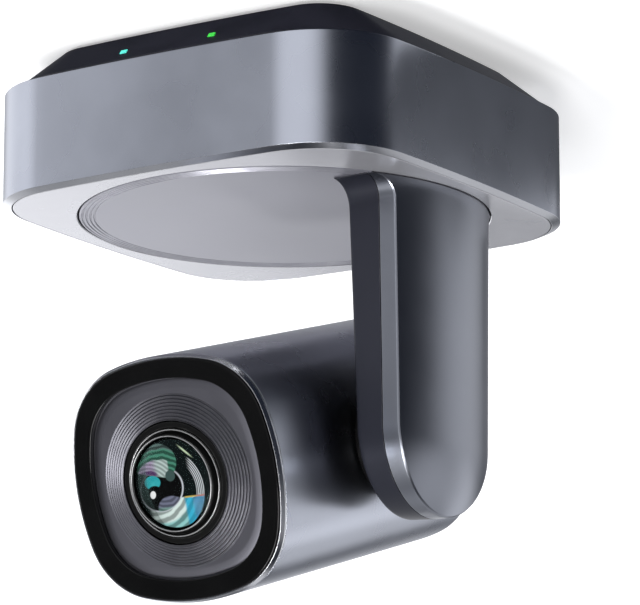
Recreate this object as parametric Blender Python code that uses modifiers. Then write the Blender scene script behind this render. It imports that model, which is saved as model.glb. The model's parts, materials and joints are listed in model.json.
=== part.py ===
"""Desk and ceiling pan-tilt-zoom camera, built as an assembly of separate parts.

The base stands on its feet at z = 0.  The camera looks along -Y, the arm stands at -X,
the pan axis is Z and the tilt axis is parallel to X.  Every length below is in
millimetres; the helpers turn them into metres.  Inside the head, "s" is the distance
forward of the tilt axis along the optical axis; inside the arm, "d" is the distance
from the pan axis towards -X.
"""
import math

import bmesh
import bpy
from mathutils import Vector

MM = 0.001
GAP = 0.3                      # clearance between neighbouring pieces
QUARTER = math.pi / 2

# Base
BASE_HALF = 75.0               # half width of the housing
BASE_CORNER = 30.7             # plan corner radius of the housing
BASE_BULGE = 1.2               # how far each side swells between its corners
BASE_WALL = 2.5
WALL_LOW = 15.6                # lower edge of the housing wall
BASE_TOP = 52.9                # top face, level with the turntable
RIM_DROP = 1.25                # height of the bright chamfer round the top
RIM_WIDTH = 2.3
PLATE_SEAT = BASE_TOP - 2.3    # ledge that carries the top plate
FLANGE_LOW = 42.3              # underside of the thick upper part of the wall
FOOT_PROUD = 1.0               # the feet hold the cover this far off the desk
COVER_FLOOR_HALF = 55.9
COVER_FLOOR_CORNER = 13.5
COVER_TOP_HALF = 73.9
COVER_TOP_CORNER = 34.4
COVER_WALL = 2.2
FOOT_PLACE = 43.0              # feet at plus and minus this in X and Y
FOOT_RADIUS = 5.5
POST_X, POST_Y = 47.0, 24.0    # screw posts of the bottom cover
STATUS_X, POWER_X = 15.5, -18.4    # light pipes, left and right of the front
LIGHT_Z = 10.4
LIGHT_WIDTH, LIGHT_HEIGHT, LIGHT_SLANT = 2.4, 2.6, -0.8
LIGHT_DEPTH = 3.4

# Turntable and pan drive
RECESS_RADIUS = 67.2           # hole in the top plate
TABLE_RADIUS = 66.55
TABLE_THICK = 2.8
HUB_RADIUS = 12.0
HUB_BORE = 7.0
FRAME_LOW, FRAME_HIGH = 40.0, 42.0
PAN_BELT_LOW, PAN_BELT_HIGH = 29.5, 33.5
PAN_PULLEY_RADIUS = 26.0
PAN_DRIVER_RADIUS = 6.5        # 26 / 6.5 gives a 4 to 1 belt reduction
PAN_MOTOR_Y = -40.0
CABLE_D = 50.0                 # the cable rises into the arm here

# Arm
TILT_Z = BASE_TOP + 77.6       # height of the tilt axis
ARM_FOOT = BASE_TOP + GAP
ARM_RADIUS = 66.9              # outer face is part of a cylinder about the pan axis
ARM_LEAN = 0.009               # slight draft of that cylinder
ARM_DOME_START = 80.8          # height above the base top where it starts to curve in
ARM_DOME_RADIUS = 45.0
ARM_HALF_FOOT = 28.0
ARM_HALF_TOP = 26.4            # radius of the rounded upper end
ARM_SPLIT = 54.6               # d of the joint between shell and inner cover
ARM_FACE_FOOT = 42.5           # d of the face towards the head, at the foot
ARM_FACE_LEAN = 0.026
ARM_COVER_STEP = 0.6           # the inner cover narrows by this towards the head
ARM_WALL = 2.0
ARM_FLARE = 7.0                # fillet radius where the arm meets the turntable

# Tilt drive
TILT_MOTOR_DROP = 45.0         # motor axis below the tilt axis
TILT_BELT_LOW, TILT_BELT_HIGH = 58.3, 60.7
TILT_PULLEY_RADIUS = 12.5
TILT_DRIVER_RADIUS = 5.0       # 12.5 / 5 gives a 2.5 to 1 belt reduction
TILT_SHAFT_RADIUS = 8.0

# Head
HEAD_TILT = math.radians(16.5)     # optical axis above the horizon at rest
HEAD_HALF_FRONT = 38.6
HEAD_HALF_REAR = 38.1
HEAD_CORNER = 0.63                 # corner radius over half width
HEAD_BULGE = 0.036                 # side bulge over half width
HEAD_WALL = 2.0
HEAD_REAR = -57.8
BACK_HALF = 33.0                   # half width of the inset back plate
SHELL_FRONT = 59.5
RIM_FRONT = 61.9
BEZEL_FRONT = 62.2
BEZEL_OUTER = 37.4
BEZEL_INNER = 31.3
SHROUD_CIRCLE = 27.3               # outermost ridge of the surround
SHROUD_BORE = 19.4
SHROUD_LOW, SHROUD_HIGH = 60.6, 62.7    # the ridges rise from the circle to the bore
BARREL_RADIUS = 19.0
BARREL_FACE = 62.2
BARREL_NOSE = 64.0                 # top of the cone round the front glass
GLASS_RADIUS = 14.2
GLASS_CROWN = 67.0
LENS_RISE = 1.0                    # the lens sits a little above the middle of the head
LENS_PLACE = (0.0, 0.0, LENS_RISE)
LENS_TUBE_RADIUS = 21.0
LENS_TUBE_BORE = 16.5
CARRIAGE_RADIUS = 16.2

# Rear connectors: name, centre x, width, low z, height
PANEL_HALF_X = 50.0
PANEL_LOW, PANEL_HIGH = 21.0, 39.6
PANEL_Y = 71.6
PORTS = (
    ("dc_jack", -40.0, 9.0, 22.2, 11.0),
    ("hdmi_port", -20.0, 15.0, 22.2, 6.0),
    ("usb_port", 2.0, 9.0, 22.2, 8.0),
    ("lan_port", 22.0, 16.0, 22.2, 13.5),
)
BUTTON_X, BUTTON_Z, BUTTON_RADIUS = 41.0, 30.0, 3.5


# ---------------------------------------------------------------- scene helpers

def clear_scene():
    for old in list(bpy.data.objects):
        bpy.data.objects.remove(old, do_unlink=True)


def new_collection(name):
    made = bpy.data.collections.new(name)
    bpy.context.scene.collection.children.link(made)
    return made


def new_material(name, colour, roughness, metallic, alpha=1.0):
    made = bpy.data.materials.new(name)
    made.use_nodes = True
    shader = made.node_tree.nodes["Principled BSDF"]
    shader.inputs["Base Color"].default_value = (*colour, 1.0)
    shader.inputs["Roughness"].default_value = roughness
    shader.inputs["Metallic"].default_value = metallic
    shader.inputs["Alpha"].default_value = alpha
    return made


def empty(name, place, turn=(0.0, 0.0, 0.0), parent=None):
    made = bpy.data.objects.new(name, None)
    made.location = Vector(place) * MM
    made.rotation_euler = turn
    made.parent = parent
    PARTS.objects.link(made)
    return made


def finish_object(made, material, parent):
    if material:
        made.data.materials.clear()
        made.data.materials.append(material)
    made.parent = parent
    return made


def mesh_object(name, mesh, material, parent=None):
    made = bpy.data.objects.new(name, mesh)
    PARTS.objects.link(made)
    return finish_object(made, material, parent)


def smooth(made, angle=35.0):
    made.data.shade_smooth()
    made.data.set_sharp_from_angle(angle=math.radians(angle))
    return made


def as_cutter(tool):
    """Move a shape out of the model and into the collection of cutters."""
    for home in list(tool.users_collection):
        home.objects.unlink(tool)
    CUTTERS.objects.link(tool)
    tool.hide_render = True
    tool.display_type = "WIRE"
    return tool


def combine(target, tool, operation):
    step = target.modifiers.new(operation.lower() + "_" + tool.name, "BOOLEAN")
    step.operation = operation
    step.solver = "EXACT"
    step.object = as_cutter(tool)
    return target


def cut(target, tool):
    return combine(target, tool, "DIFFERENCE")


def join(target, tool):
    return combine(target, tool, "UNION")


# ---------------------------------------------------------------- shape helpers

def rounded_square(half, corner, bulge, side_steps=4, corner_steps=6):
    """Points of a square with round corners and gently bulging sides."""
    side_radius = ((half - corner) ** 2 + bulge ** 2) / (2 * bulge)
    slope = (half - side_radius) / (side_radius - corner) / math.sqrt(2)
    swing = math.pi / 4 + math.asin(slope)
    corner_centre = (side_radius - corner) * math.sin(swing)
    quarter = []
    for i in range(side_steps):
        a = swing * (2 * i / side_steps - 1)
        quarter.append((half - side_radius + side_radius * math.cos(a), side_radius * math.sin(a)))
    for i in range(corner_steps):
        a = swing + (QUARTER - 2 * swing) * i / corner_steps
        quarter.append((corner_centre + corner * math.cos(a), corner_centre + corner * math.sin(a)))
    points = []
    for _ in range(4):
        points += quarter
        quarter = [(-y, x) for x, y in quarter]
    return points


def circle_like(points, radius):
    """A circle whose points lie in the same directions as those of an outline."""
    return [(x * radius / math.hypot(x, y), y * radius / math.hypot(x, y)) for x, y in points]


def round_points(radius, steps=32, centre=(0.0, 0.0)):
    return [(centre[0] + radius * math.cos(2 * math.pi * i / steps),
             centre[1] + radius * math.sin(2 * math.pi * i / steps)) for i in range(steps)]


def belt_points(big, small, distance, steps=14):
    """Outline of a belt round two pulleys; the small one lies at -distance on the second axis."""
    lean = math.asin((big - small) / distance)
    points = []
    for i in range(steps + 1):
        a = -lean + (math.pi + 2 * lean) * i / steps
        points.append((big * math.cos(a), big * math.sin(a)))
    for i in range(steps + 1):
        a = math.pi + lean + (math.pi - 2 * lean) * i / steps
        points.append((small * math.cos(a), small * math.sin(a) - distance))
    return points


def curve_mesh(curve):
    """The mesh that a curve draws, with its seams merged."""
    drawn = bpy.data.objects.new("curve", curve)
    PARTS.objects.link(drawn)
    bpy.context.view_layer.update()
    mesh = bpy.data.meshes.new_from_object(drawn.evaluated_get(bpy.context.evaluated_depsgraph_get()))
    bpy.data.objects.remove(drawn, do_unlink=True)
    edit = bmesh.new()
    edit.from_mesh(mesh)
    bmesh.ops.remove_doubles(edit, verts=edit.verts, dist=0.01 * MM)
    bmesh.ops.recalc_face_normals(edit, faces=edit.faces)
    edit.to_mesh(mesh)
    edit.free()
    return mesh


def prism(name, outline, low, high, material=None, axis="Z", parent=None):
    """A flat outline as a 2D curve, extruded from low to high along an axis, as a mesh.

    Along Z the outline holds (x, y).  Along -X it holds (z, y), and along -Y it holds (x, z).
    """
    curve = bpy.data.curves.new(name, "CURVE")
    curve.dimensions = "2D"
    curve.fill_mode = "BOTH"
    curve.extrude = (high - low) / 2 * MM
    spline = curve.splines.new("POLY")
    spline.points.add(len(outline) - 1)
    for point, (u, v) in zip(spline.points, outline):
        point.co = (u * MM, v * MM, 0.0, 1.0)
    spline.use_cyclic_u = True
    made = mesh_object(name, curve_mesh(curve), material, parent)
    point_along(made, axis)
    made.location += axis_vector(axis) * ((low + high) / 2 * MM)
    return smooth(made)


def axis_vector(axis):
    return {"Z": Vector((0, 0, 1)), "-X": Vector((-1, 0, 0)), "-Y": Vector((0, -1, 0))}[axis]


def point_along(made, axis):
    made.rotation_euler = {"Z": (0, 0, 0), "-X": (0, -QUARTER, 0), "-Y": (QUARTER, 0, 0)}[axis]


def turned(name, profile, material=None, steps=32, axis="Z", place=(0.0, 0.0, 0.0), parent=None):
    """A lathe profile of (radius, height) points, outer side first and top to bottom."""
    closed = min(radius for radius, _ in profile) > 0
    edges = [(i, i + 1) for i in range(len(profile) - 1)]
    if closed:
        edges.append((len(profile) - 1, 0))
    mesh = bpy.data.meshes.new(name)
    mesh.from_pydata([(radius * MM, 0.0, height * MM) for radius, height in profile], edges, [])
    made = mesh_object(name, mesh, material, parent)
    made.location = Vector(place) * MM
    point_along(made, axis)
    spin = made.modifiers.new("spin", "SCREW")
    spin.steps = steps
    spin.render_steps = steps
    spin.use_merge_vertices = True
    spin.merge_threshold = 0.00001
    spin.use_smooth_shade = True
    return made


def box(name, size, centre, material=None, bevel=0.0, parent=None):
    bpy.ops.mesh.primitive_cube_add(size=1.0)
    made = bpy.context.active_object
    made.name = name
    made.data.name = name
    for home in list(made.users_collection):
        home.objects.unlink(made)
    PARTS.objects.link(made)
    for vertex in made.data.vertices:
        vertex.co = Vector([vertex.co[i] * size[i] * MM for i in range(3)])
    made.location = Vector(centre) * MM
    if bevel:
        edge = made.modifiers.new("edge", "BEVEL")
        edge.width = bevel * MM
        edge.segments = 2
    return finish_object(made, material, parent)


def loft(name, rings, material=None, parent=None, closed=False):
    """Join rings of equally many points; the ends are capped unless the rings close on themselves."""
    edit = bmesh.new()
    rows = [[edit.verts.new(Vector(point) * MM) for point in ring] for ring in rings]
    pairs = list(zip(rows, rows[1:]))
    if closed:
        pairs.append((rows[-1], rows[0]))
    for first, second in pairs:
        for i in range(len(first)):
            j = (i + 1) % len(first)
            edit.faces.new((first[i], first[j], second[j], second[i]))
    if not closed:
        edit.faces.new(rows[0])
        edit.faces.new(rows[-1])
    bmesh.ops.recalc_face_normals(edit, faces=edit.faces)
    mesh = bpy.data.meshes.new(name)
    edit.to_mesh(mesh)
    edit.free()
    return smooth(mesh_object(name, mesh, material, parent))


def flat_ring(points, z):
    return [(x, y, z) for x, y in points]


def head_ring(points, s, rise=0.0):
    """An outline of (x, up) points placed at the distance s forward of the tilt axis."""
    return [(x, -s, up + rise) for x, up in points]


def base_outline(half, side_steps=4, corner_steps=6):
    return rounded_square(half, BASE_CORNER * half / BASE_HALF, BASE_BULGE, side_steps, corner_steps)


def head_outline(half):
    return rounded_square(half, HEAD_CORNER * half, HEAD_BULGE * half, 4, 5)


# ---------------------------------------------------------------- materials

def make_materials():
    return {
        "shell": new_material("satin_grey_metal", (0.30, 0.31, 0.34), 0.36, 0.7),
        "plate": new_material("pale_grey_metal", (0.55, 0.55, 0.58), 0.4, 0.6),
        "dark": new_material("dark_plastic", (0.035, 0.034, 0.042), 0.45, 0.0),
        "gloss": new_material("gloss_black", (0.008, 0.008, 0.009), 0.08, 0.0),
        "dish": new_material("lens_surround", (0.13, 0.13, 0.16), 0.4, 0.3),
        "bright": new_material("bright_trim", (0.75, 0.75, 0.78), 0.2, 1.0),
        "black": new_material("black_metal", (0.012, 0.012, 0.014), 0.3, 0.4),
        "rubber": new_material("rubber", (0.02, 0.02, 0.02), 0.8, 0.0),
        "steel": new_material("steel", (0.55, 0.56, 0.58), 0.3, 1.0),
        "aluminium": new_material("aluminium", (0.6, 0.61, 0.63), 0.4, 1.0),
        "brass": new_material("brass", (0.7, 0.5, 0.2), 0.3, 1.0),
        "board": new_material("circuit_board", (0.01, 0.13, 0.05), 0.5, 0.0),
        "plastic": new_material("white_plastic", (0.7, 0.7, 0.68), 0.5, 0.0),
        "teal": new_material("teal_light", (0.1, 0.7, 0.6), 0.3, 0.0),
        "green": new_material("green_light", (0.05, 0.6, 0.1), 0.3, 0.0),
        "glass": new_material("lens_glass", (0.5, 0.6, 0.62), 0.02, 0.0, 0.35),
    }


# ---------------------------------------------------------------- base

def base_housing():
    inner = BASE_HALF - BASE_WALL
    stations = (
        (BASE_HALF, WALL_LOW),
        (BASE_HALF, BASE_TOP - RIM_DROP),
        (BASE_HALF - RIM_WIDTH, BASE_TOP),
        (BASE_HALF - RIM_WIDTH, PLATE_SEAT),
        (BASE_HALF - 5.5, PLATE_SEAT),
        (BASE_HALF - 5.5, FLANGE_LOW),
        (inner, FLANGE_LOW),
        (inner, WALL_LOW),
    )
    rings = [flat_ring(base_outline(half), z) for half, z in stations]
    housing = loft("base_housing", rings, MAT["shell"], closed=True)
    window = box("panel_window", (2 * PANEL_HALF_X, 20, PANEL_HIGH - PANEL_LOW),
                 (0, BASE_HALF, (PANEL_LOW + PANEL_HIGH) / 2))
    return cut(housing, window)


def base_top_plate():
    outline = base_outline(BASE_HALF - RIM_WIDTH - GAP, 14, 8)
    hole = circle_like(outline, RECESS_RADIUS)
    low, high = PLATE_SEAT + GAP, BASE_TOP
    rings = [flat_ring(outline, low), flat_ring(outline, high), flat_ring(hole, high), flat_ring(hole, low)]
    return loft("base_top_plate", rings, MAT["plate"], closed=True)


def bottom_cover():
    top = WALL_LOW - GAP
    floor = FOOT_PROUD
    slope = COVER_WALL * 1.3
    outer_low = rounded_square(COVER_FLOOR_HALF, COVER_FLOOR_CORNER, 1.0)
    outer_high = rounded_square(COVER_TOP_HALF, COVER_TOP_CORNER, 1.0)
    inner_high = rounded_square(COVER_TOP_HALF - slope, COVER_TOP_CORNER - slope, 1.0)
    inner_low = rounded_square(COVER_FLOOR_HALF - 0.4, COVER_FLOOR_CORNER - 0.4, 1.0)
    rings = [flat_ring(outer_low, floor), flat_ring(outer_high, top),
             flat_ring(inner_high, top), flat_ring(inner_low, floor + COVER_WALL)]
    cover = loft("bottom_cover", rings, MAT["dark"])
    for i, (x, y) in enumerate(post_places()):
        join(cover, turned(f"post_{i}", [(0, FRAME_LOW - GAP), (3.6, FRAME_LOW - GAP), (3.6, 2.0), (0, 2.0)],
                           steps=16, place=(x, y, 0)))
    for i, (x, y) in enumerate(post_places()):
        hole = turned(f"post_hole_{i}", [(0, 50), (1.8, 50), (1.8, 2.8), (3.2, 2.8), (3.2, -1), (0, -1)],
                      steps=14, place=(x, y, 0))
        hole.rotation_euler = (0, 0, 0.1)
        cut(cover, hole)
    for i, (x, y) in enumerate(foot_places()):
        reach = FOOT_RADIUS + GAP
        cut(cover, turned(f"foot_pocket_{i}", [(0, 2.0), (reach, 2.0), (reach, 0), (0, 0)], steps=24,
                          place=(x, y, 0)))
    cut(cover, turned("insert_hole", [(0, 5), (6.3, 5), (6.3, 0), (0, 0)], steps=24))
    for tag, x in (("status", STATUS_X), ("power", POWER_X)):
        cut(cover, light_prism(f"{tag}_window", x, GAP))
    return cover


def post_places():
    return [(x, y) for x in (-POST_X, POST_X) for y in (-POST_Y, POST_Y)]


def foot_places():
    return [(x, y) for x in (-FOOT_PLACE, FOOT_PLACE) for y in (-FOOT_PLACE, FOOT_PLACE)]


def light_prism(name, x, grow, material=None):
    """A slanted four-sided light pipe through the sloping front of the cover."""
    run = COVER_TOP_HALF - COVER_FLOOR_HALF
    rise = WALL_LOW - GAP - FOOT_PROUD
    lean = math.atan2(run, rise)
    w, h, k = LIGHT_WIDTH / 2 + grow, LIGHT_HEIGHT / 2 + grow, LIGHT_SLANT / 2
    outline = [(-w - k, -h), (w - k, -h), (w + k, h), (-w + k, h)]
    front = 0.1 + 4 * grow
    made = prism(name, outline, -LIGHT_DEPTH, front, material, axis="-Y")
    y = -(COVER_FLOOR_HALF + run * (LIGHT_Z - FOOT_PROUD) / rise)
    made.rotation_euler = (QUARTER + lean, 0, 0)
    out = Vector((0, -math.cos(lean), -math.sin(lean)))
    made.location = (Vector((x, y, LIGHT_Z)) + out * (front - LIGHT_DEPTH) / 2) * MM
    return made


def feet():
    for i, (x, y) in enumerate(foot_places()):
        profile = [(0, 1.7), (FOOT_RADIUS, 1.7), (FOOT_RADIUS, 0.5), (FOOT_RADIUS - 0.5, 0), (0, 0)]
        turned(f"rubber_foot_{i + 1}", profile, MAT["rubber"], steps=16, place=(x, y, 0))


def tripod_insert():
    floor = FOOT_PROUD + COVER_WALL
    profile = [(3.1, 10), (6, 10), (6, floor + 1.8), (9, floor + 1.8), (9, floor + GAP), (6, floor + GAP),
               (6, FOOT_PROUD), (3.1, FOOT_PROUD)]
    return turned("tripod_insert", profile, MAT["brass"], steps=20)


def base_screws():
    for i, (x, y) in enumerate(post_places()):
        profile = [(0, 44), (1.5, 44), (1.5, 2.5), (2.8, 2.5), (2.8, 1.2), (0, 1.2)]
        turned(f"base_screw_{i + 1}", profile, MAT["steel"], steps=8, place=(x, y, 0))


def io_panel():
    half = PANEL_HALF_X - GAP
    low, high = PANEL_LOW + GAP, PANEL_HIGH - GAP
    panel = box("io_panel", (2 * half, 1.8, high - low), (0, PANEL_Y + 0.9, (low + high) / 2), MAT["dark"])
    for name, x, width, base, height in PORTS:
        cut(panel, box(name + "_hole", (width + 2 * GAP, 10, height + 2 * GAP),
                       (x, PANEL_Y, base + height / 2)))
    reach = BUTTON_RADIUS + GAP
    cut(panel, turned("button_hole", [(0, 10), (reach, 10), (reach, -10), (0, -10)], steps=24, axis="-Y",
                      place=(BUTTON_X, PANEL_Y, BUTTON_Z)))
    return panel


def ports():
    """Sockets behind the rear panel; the power socket has a round mouth, the others square ones."""
    for name, x, width, base, height in PORTS:
        middle = base + height / 2
        port = box(name, (width, 14, height), (x, PANEL_Y - 5.2, middle), MAT["steel"])
        if name == "dc_jack":
            mouth = turned(name + "_mouth", [(0, 4), (3.2, 4), (3.2, -9), (0, -9)], steps=20, axis="-Y",
                           place=(x, PANEL_Y - 3, middle))
        else:
            mouth = box(name + "_mouth", (width - 1.6, 12, height - 1.6), (x, PANEL_Y - 1, middle))
        cut(port, mouth)


def power_button():
    """Push button in the rear panel, with its origin on its line of travel."""
    profile = [(0, 10), (2.4, 10), (2.4, 2.6), (BUTTON_RADIUS, 2.2), (BUTTON_RADIUS, -2.6), (0, -2.9)]
    return turned("power_button", profile, MAT["plastic"], steps=24, axis="-Y",
                  place=(BUTTON_X, PANEL_Y, BUTTON_Z))


def main_board():
    return box("main_board", (82, 71, 1.6), (0, 35.5, 21.1), MAT["board"])


# ---------------------------------------------------------------- pan drive

def pan_frame():
    """Steel plate clamped under the housing flange; its collar holds the bearing."""
    outline = base_outline(BASE_HALF - BASE_WALL - 0.5)
    frame = prism("pan_frame", outline, FRAME_LOW, FRAME_HIGH, MAT["steel"])
    join(frame, turned("bearing_collar", [(22.3, 42.0), (27, 42.0), (27, 35.2), (22.3, 35.2)], steps=24))
    cut(frame, turned("bearing_seat", [(0, 45), (22.3, 45), (22.3, 30), (0, 30)], steps=24))
    for i, (x, y) in enumerate(post_places()):
        cut(frame, turned(f"frame_hole_{i}", [(0, 45), (1.8, 45), (1.8, 38), (0, 38)], steps=12,
                          place=(x, y, 0)))
    return frame


def pan_bearing():
    turned("pan_bearing_outer", [(19, 42), (22, 42), (22, 35.5), (19, 35.5)], MAT["steel"], steps=24)
    turned("pan_bearing_inner", [(HUB_RADIUS + GAP, 42), (16, 42), (16, 35.5), (HUB_RADIUS + GAP, 35.5)],
           MAT["steel"], steps=24, parent=PAN)


def pan_motor():
    turned("pan_motor", [(2.9, 23.7), (14, 23.7), (14, 5), (5, 5), (5, 6), (2.9, 6)], MAT["steel"], steps=20,
           place=(0, PAN_MOTOR_Y, 0))
    bracket = box("pan_motor_bracket", (43, 32, 1.6), (0, PAN_MOTOR_Y, 24.8), MAT["aluminium"])
    for side in (-1, 1):
        join(bracket, box(f"bracket_leg_{side}", (2, 20, 15.5), (side * 20.5, PAN_MOTOR_Y, 31.95)))
    return cut(bracket, turned("bracket_hole", [(0, 30), (5, 30), (5, 20), (0, 20)], steps=16,
                               place=(0, PAN_MOTOR_Y, 0)))


def flanged(radius, bore, low, high, lip, flange):
    """Profile of a belt pulley with a flange at each end."""
    return [(bore, high), (radius + flange, high), (radius + flange, high - lip), (radius, high - lip),
            (radius, low + lip), (radius + flange, low + lip), (radius + flange, low), (bore, low)]


def pan_pulleys():
    low, high = PAN_BELT_LOW - 1.1, PAN_BELT_HIGH + 1.1
    turned("pan_pulley", flanged(PAN_PULLEY_RADIUS, HUB_RADIUS + GAP, low, high, 0.8, 2.5), MAT["aluminium"],
           steps=32, parent=PAN)
    driver = [(0, high + 0.4), (2.5, high + 0.4)] + flanged(PAN_DRIVER_RADIUS, 2.5, low, high, 0.8, 2.5)
    turned("pan_motor_pulley", driver + [(2.5, 20.5), (0, 20.5)], MAT["brass"], steps=16,
           place=(0, PAN_MOTOR_Y, 0))


def belt(name, big, small, distance, thick, low, high, axis, place, parent=None):
    """A closed band with clearance to both pulleys."""
    outer = belt_points(big + GAP + thick, small + GAP + thick, distance)
    inner = belt_points(big + GAP, small + GAP, distance)
    if axis == "Z":
        rings = [[(x, y, h) for x, y in line] for line, h in
                 ((outer, low), (outer, high), (inner, high), (inner, low))]
    else:
        rings = [[(-h, x, y) for x, y in line] for line, h in
                 ((outer, low), (outer, high), (inner, high), (inner, low))]
    made = loft(name, rings, MAT["rubber"], parent, closed=True)
    made.location = Vector(place) * MM
    return made


def pan_belt():
    belt("pan_belt", PAN_PULLEY_RADIUS, PAN_DRIVER_RADIUS, -PAN_MOTOR_Y, 1.2, PAN_BELT_LOW, PAN_BELT_HIGH,
         "Z", (0, 0, 0))


# ---------------------------------------------------------------- turntable

def turntable_disc():
    low = BASE_TOP - TABLE_THICK
    profile = [(0, BASE_TOP), (63.7, BASE_TOP), (64, BASE_TOP - 0.35), (64.3, BASE_TOP),
               (TABLE_RADIUS - 0.3, BASE_TOP), (TABLE_RADIUS, BASE_TOP - 0.3), (TABLE_RADIUS, low), (0, low)]
    disc = turned("turntable_disc", profile, MAT["plate"], steps=72, parent=PAN)
    return cut(disc, cable_hole("disc_cable_hole"))


def cable_hole(name):
    return turned(name, [(0, 60), (2.5, 60), (2.5, 40), (0, 40)], steps=16, place=(-CABLE_D, 0, 0),
                  parent=PAN)


def turntable_hub():
    """Flanged hollow shaft under the disc, slotted for the cable."""
    top = BASE_TOP - TABLE_THICK - GAP
    profile = [(HUB_BORE, top), (62, top), (62, top - 3), (14, top - 3), (14, FRAME_HIGH + GAP),
               (HUB_RADIUS, FRAME_HIGH + GAP), (HUB_RADIUS, 24), (HUB_BORE, 24)]
    hub = turned("turntable_hub", profile, MAT["aluminium"], steps=28, parent=PAN)
    cut(hub, box("cable_slot", (CABLE_D + 3, 4.4, 10), (-(CABLE_D + 3) / 2, 0, top - 1), parent=PAN))
    turned("hub_nut", [(HUB_RADIUS + GAP, 28.1), (17, 28.1), (17, 24.5), (HUB_RADIUS + GAP, 24.5)],
           MAT["steel"], steps=20, parent=PAN)
    return hub


def harness():
    """Cable from the base, through the hollow hub and the slot, up into the arm."""
    curve = bpy.data.curves.new("cable_harness", "CURVE")
    curve.dimensions = "3D"
    curve.bevel_depth = 1.2 * MM
    curve.bevel_resolution = 2
    curve.use_fill_caps = True
    path = [(0, 0, 26), (0, 0, 44), (-1.5, 0, 46.8), (-4, 0, 48.3), (-CABLE_D + 3.5, 0, 48.3),
            (-CABLE_D + 0.9, 0, 49.4), (-CABLE_D, 0, 52), (-CABLE_D, 0, 66)]
    spline = curve.splines.new("POLY")
    spline.points.add(len(path) - 1)
    for point, place in zip(spline.points, path):
        point.co = (*(value * MM for value in place), 1.0)
    return smooth(mesh_object("cable_harness", curve_mesh(curve), MAT["rubber"], PAN))


# ---------------------------------------------------------------- arm

def arm_outline(half_foot, half_top, foot, flare, round_steps=20, flare_steps=5):
    """Side view of the arm as (z, y): a foot flare or rounding, straight sides, a half-round top."""
    side = []
    for i in range(flare_steps + 1):
        a = QUARTER * i / flare_steps
        side.append((foot + abs(flare) * (1 - math.cos(a)), -half_foot - flare + flare * math.sin(a)))
    top = []
    for i in range(round_steps + 1):
        a = math.pi * i / round_steps
        top.append((TILT_Z + half_top * math.sin(a), -half_top * math.cos(a)))
    return side + top + [(z, -y) for z, y in reversed(side)]


def arm_drum(name, inset, parent):
    """The turned body that the arm's outer face is part of, with its gentle dome."""
    profile = []
    dome_top, steps = ARM_DOME_START + 32.0, 6
    for i in range(steps + 1):
        h = dome_top + (ARM_DOME_START - dome_top) * i / steps
        radius = ARM_RADIUS - inset - ARM_LEAN * h - (h - ARM_DOME_START) ** 2 / (2 * ARM_DOME_RADIUS)
        profile.append((radius, BASE_TOP + h))
    profile.append((ARM_RADIUS - inset, BASE_TOP))
    profile = [(0, profile[0][1])] + profile + [(ARM_RADIUS - inset, BASE_TOP - 5), (0, BASE_TOP - 5)]
    return turned(name, profile, steps=96, parent=parent)


def arm_outer_shell():
    outline = arm_outline(ARM_HALF_FOOT, ARM_HALF_TOP, ARM_FOOT, ARM_FLARE)
    shell = prism("arm_outer_shell", outline, ARM_SPLIT + GAP, 75, MAT["shell"], axis="-X", parent=PAN)
    combine(shell, arm_drum("arm_drum", 0, PAN), "INTERSECT")
    hollow = arm_outline(ARM_HALF_FOOT - ARM_WALL, ARM_HALF_TOP - ARM_WALL, ARM_FOOT + ARM_WALL, -4.0)
    core = prism("arm_core", hollow, ARM_SPLIT - 5, 75, axis="-X", parent=PAN)
    combine(core, arm_drum("core_drum", ARM_WALL, PAN), "INTERSECT")
    return cut(shell, core)


def arm_face(z):
    """The d of the face towards the head, which leans slightly away from it."""
    return ARM_FACE_FOOT + ARM_FACE_LEAN * (z - BASE_TOP)


def arm_inner_cover():
    narrow_foot, narrow_top = ARM_HALF_FOOT - ARM_COVER_STEP, ARM_HALF_TOP - ARM_COVER_STEP
    edge = arm_outline(ARM_HALF_FOOT, ARM_HALF_TOP, ARM_FOOT, ARM_FLARE)
    face = arm_outline(narrow_foot, narrow_top, ARM_FOOT, ARM_FLARE)
    hollow = arm_outline(narrow_foot - ARM_WALL, narrow_top - ARM_WALL, ARM_FOOT + ARM_WALL, -4.0)
    rings = [[(-arm_face(z) - ARM_WALL, y, z) for z, y in hollow],
             [(-ARM_SPLIT, y, z) for z, y in hollow],
             [(-ARM_SPLIT, y, z) for z, y in edge],
             [(-arm_face(z), y, z) for z, y in face]]
    cover = loft("arm_inner_cover", rings, MAT["dark"], PAN)
    cut(cover, turned("shaft_hole", [(0, 50), (9, 50), (9, 38), (0, 38)], steps=32, axis="-X",
                      place=(0, 0, TILT_Z), parent=PAN))
    return cut(cover, cable_hole("cover_cable_hole"))


def arm_frame():
    """Bent plate inside the arm that carries the tilt bearing and the tilt motor."""
    outline = arm_outline(21, 20, ARM_FOOT + ARM_WALL + GAP, -3.0, round_steps=10, flare_steps=2)
    frame = prism("arm_frame", outline, 51.2, 52.8, MAT["aluminium"], axis="-X", parent=PAN)
    join(frame, turned("tilt_collar", [(14.3, 56.4), (17, 56.4), (17, 51.2), (14.3, 51.2)], steps=20,
                       axis="-X", place=(0, 0, TILT_Z), parent=PAN))
    cut(frame, turned("tilt_seat", [(0, 57), (14.3, 57), (14.3, 50), (0, 50)], steps=20, axis="-X",
                      place=(0, 0, TILT_Z), parent=PAN))
    return frame


def tilt_bearing():
    turned("tilt_bearing_outer", [(12, 56.2), (14, 56.2), (14, 51.4), (12, 51.4)], MAT["steel"], steps=20,
           axis="-X", place=(0, 0, TILT_Z), parent=PAN)
    bore = TILT_SHAFT_RADIUS + GAP
    turned("tilt_bearing_inner", [(bore, 56.2), (10.4, 56.2), (10.4, 51.4), (bore, 51.4)], MAT["steel"],
           steps=20, axis="-X", parent=TILT)


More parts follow.
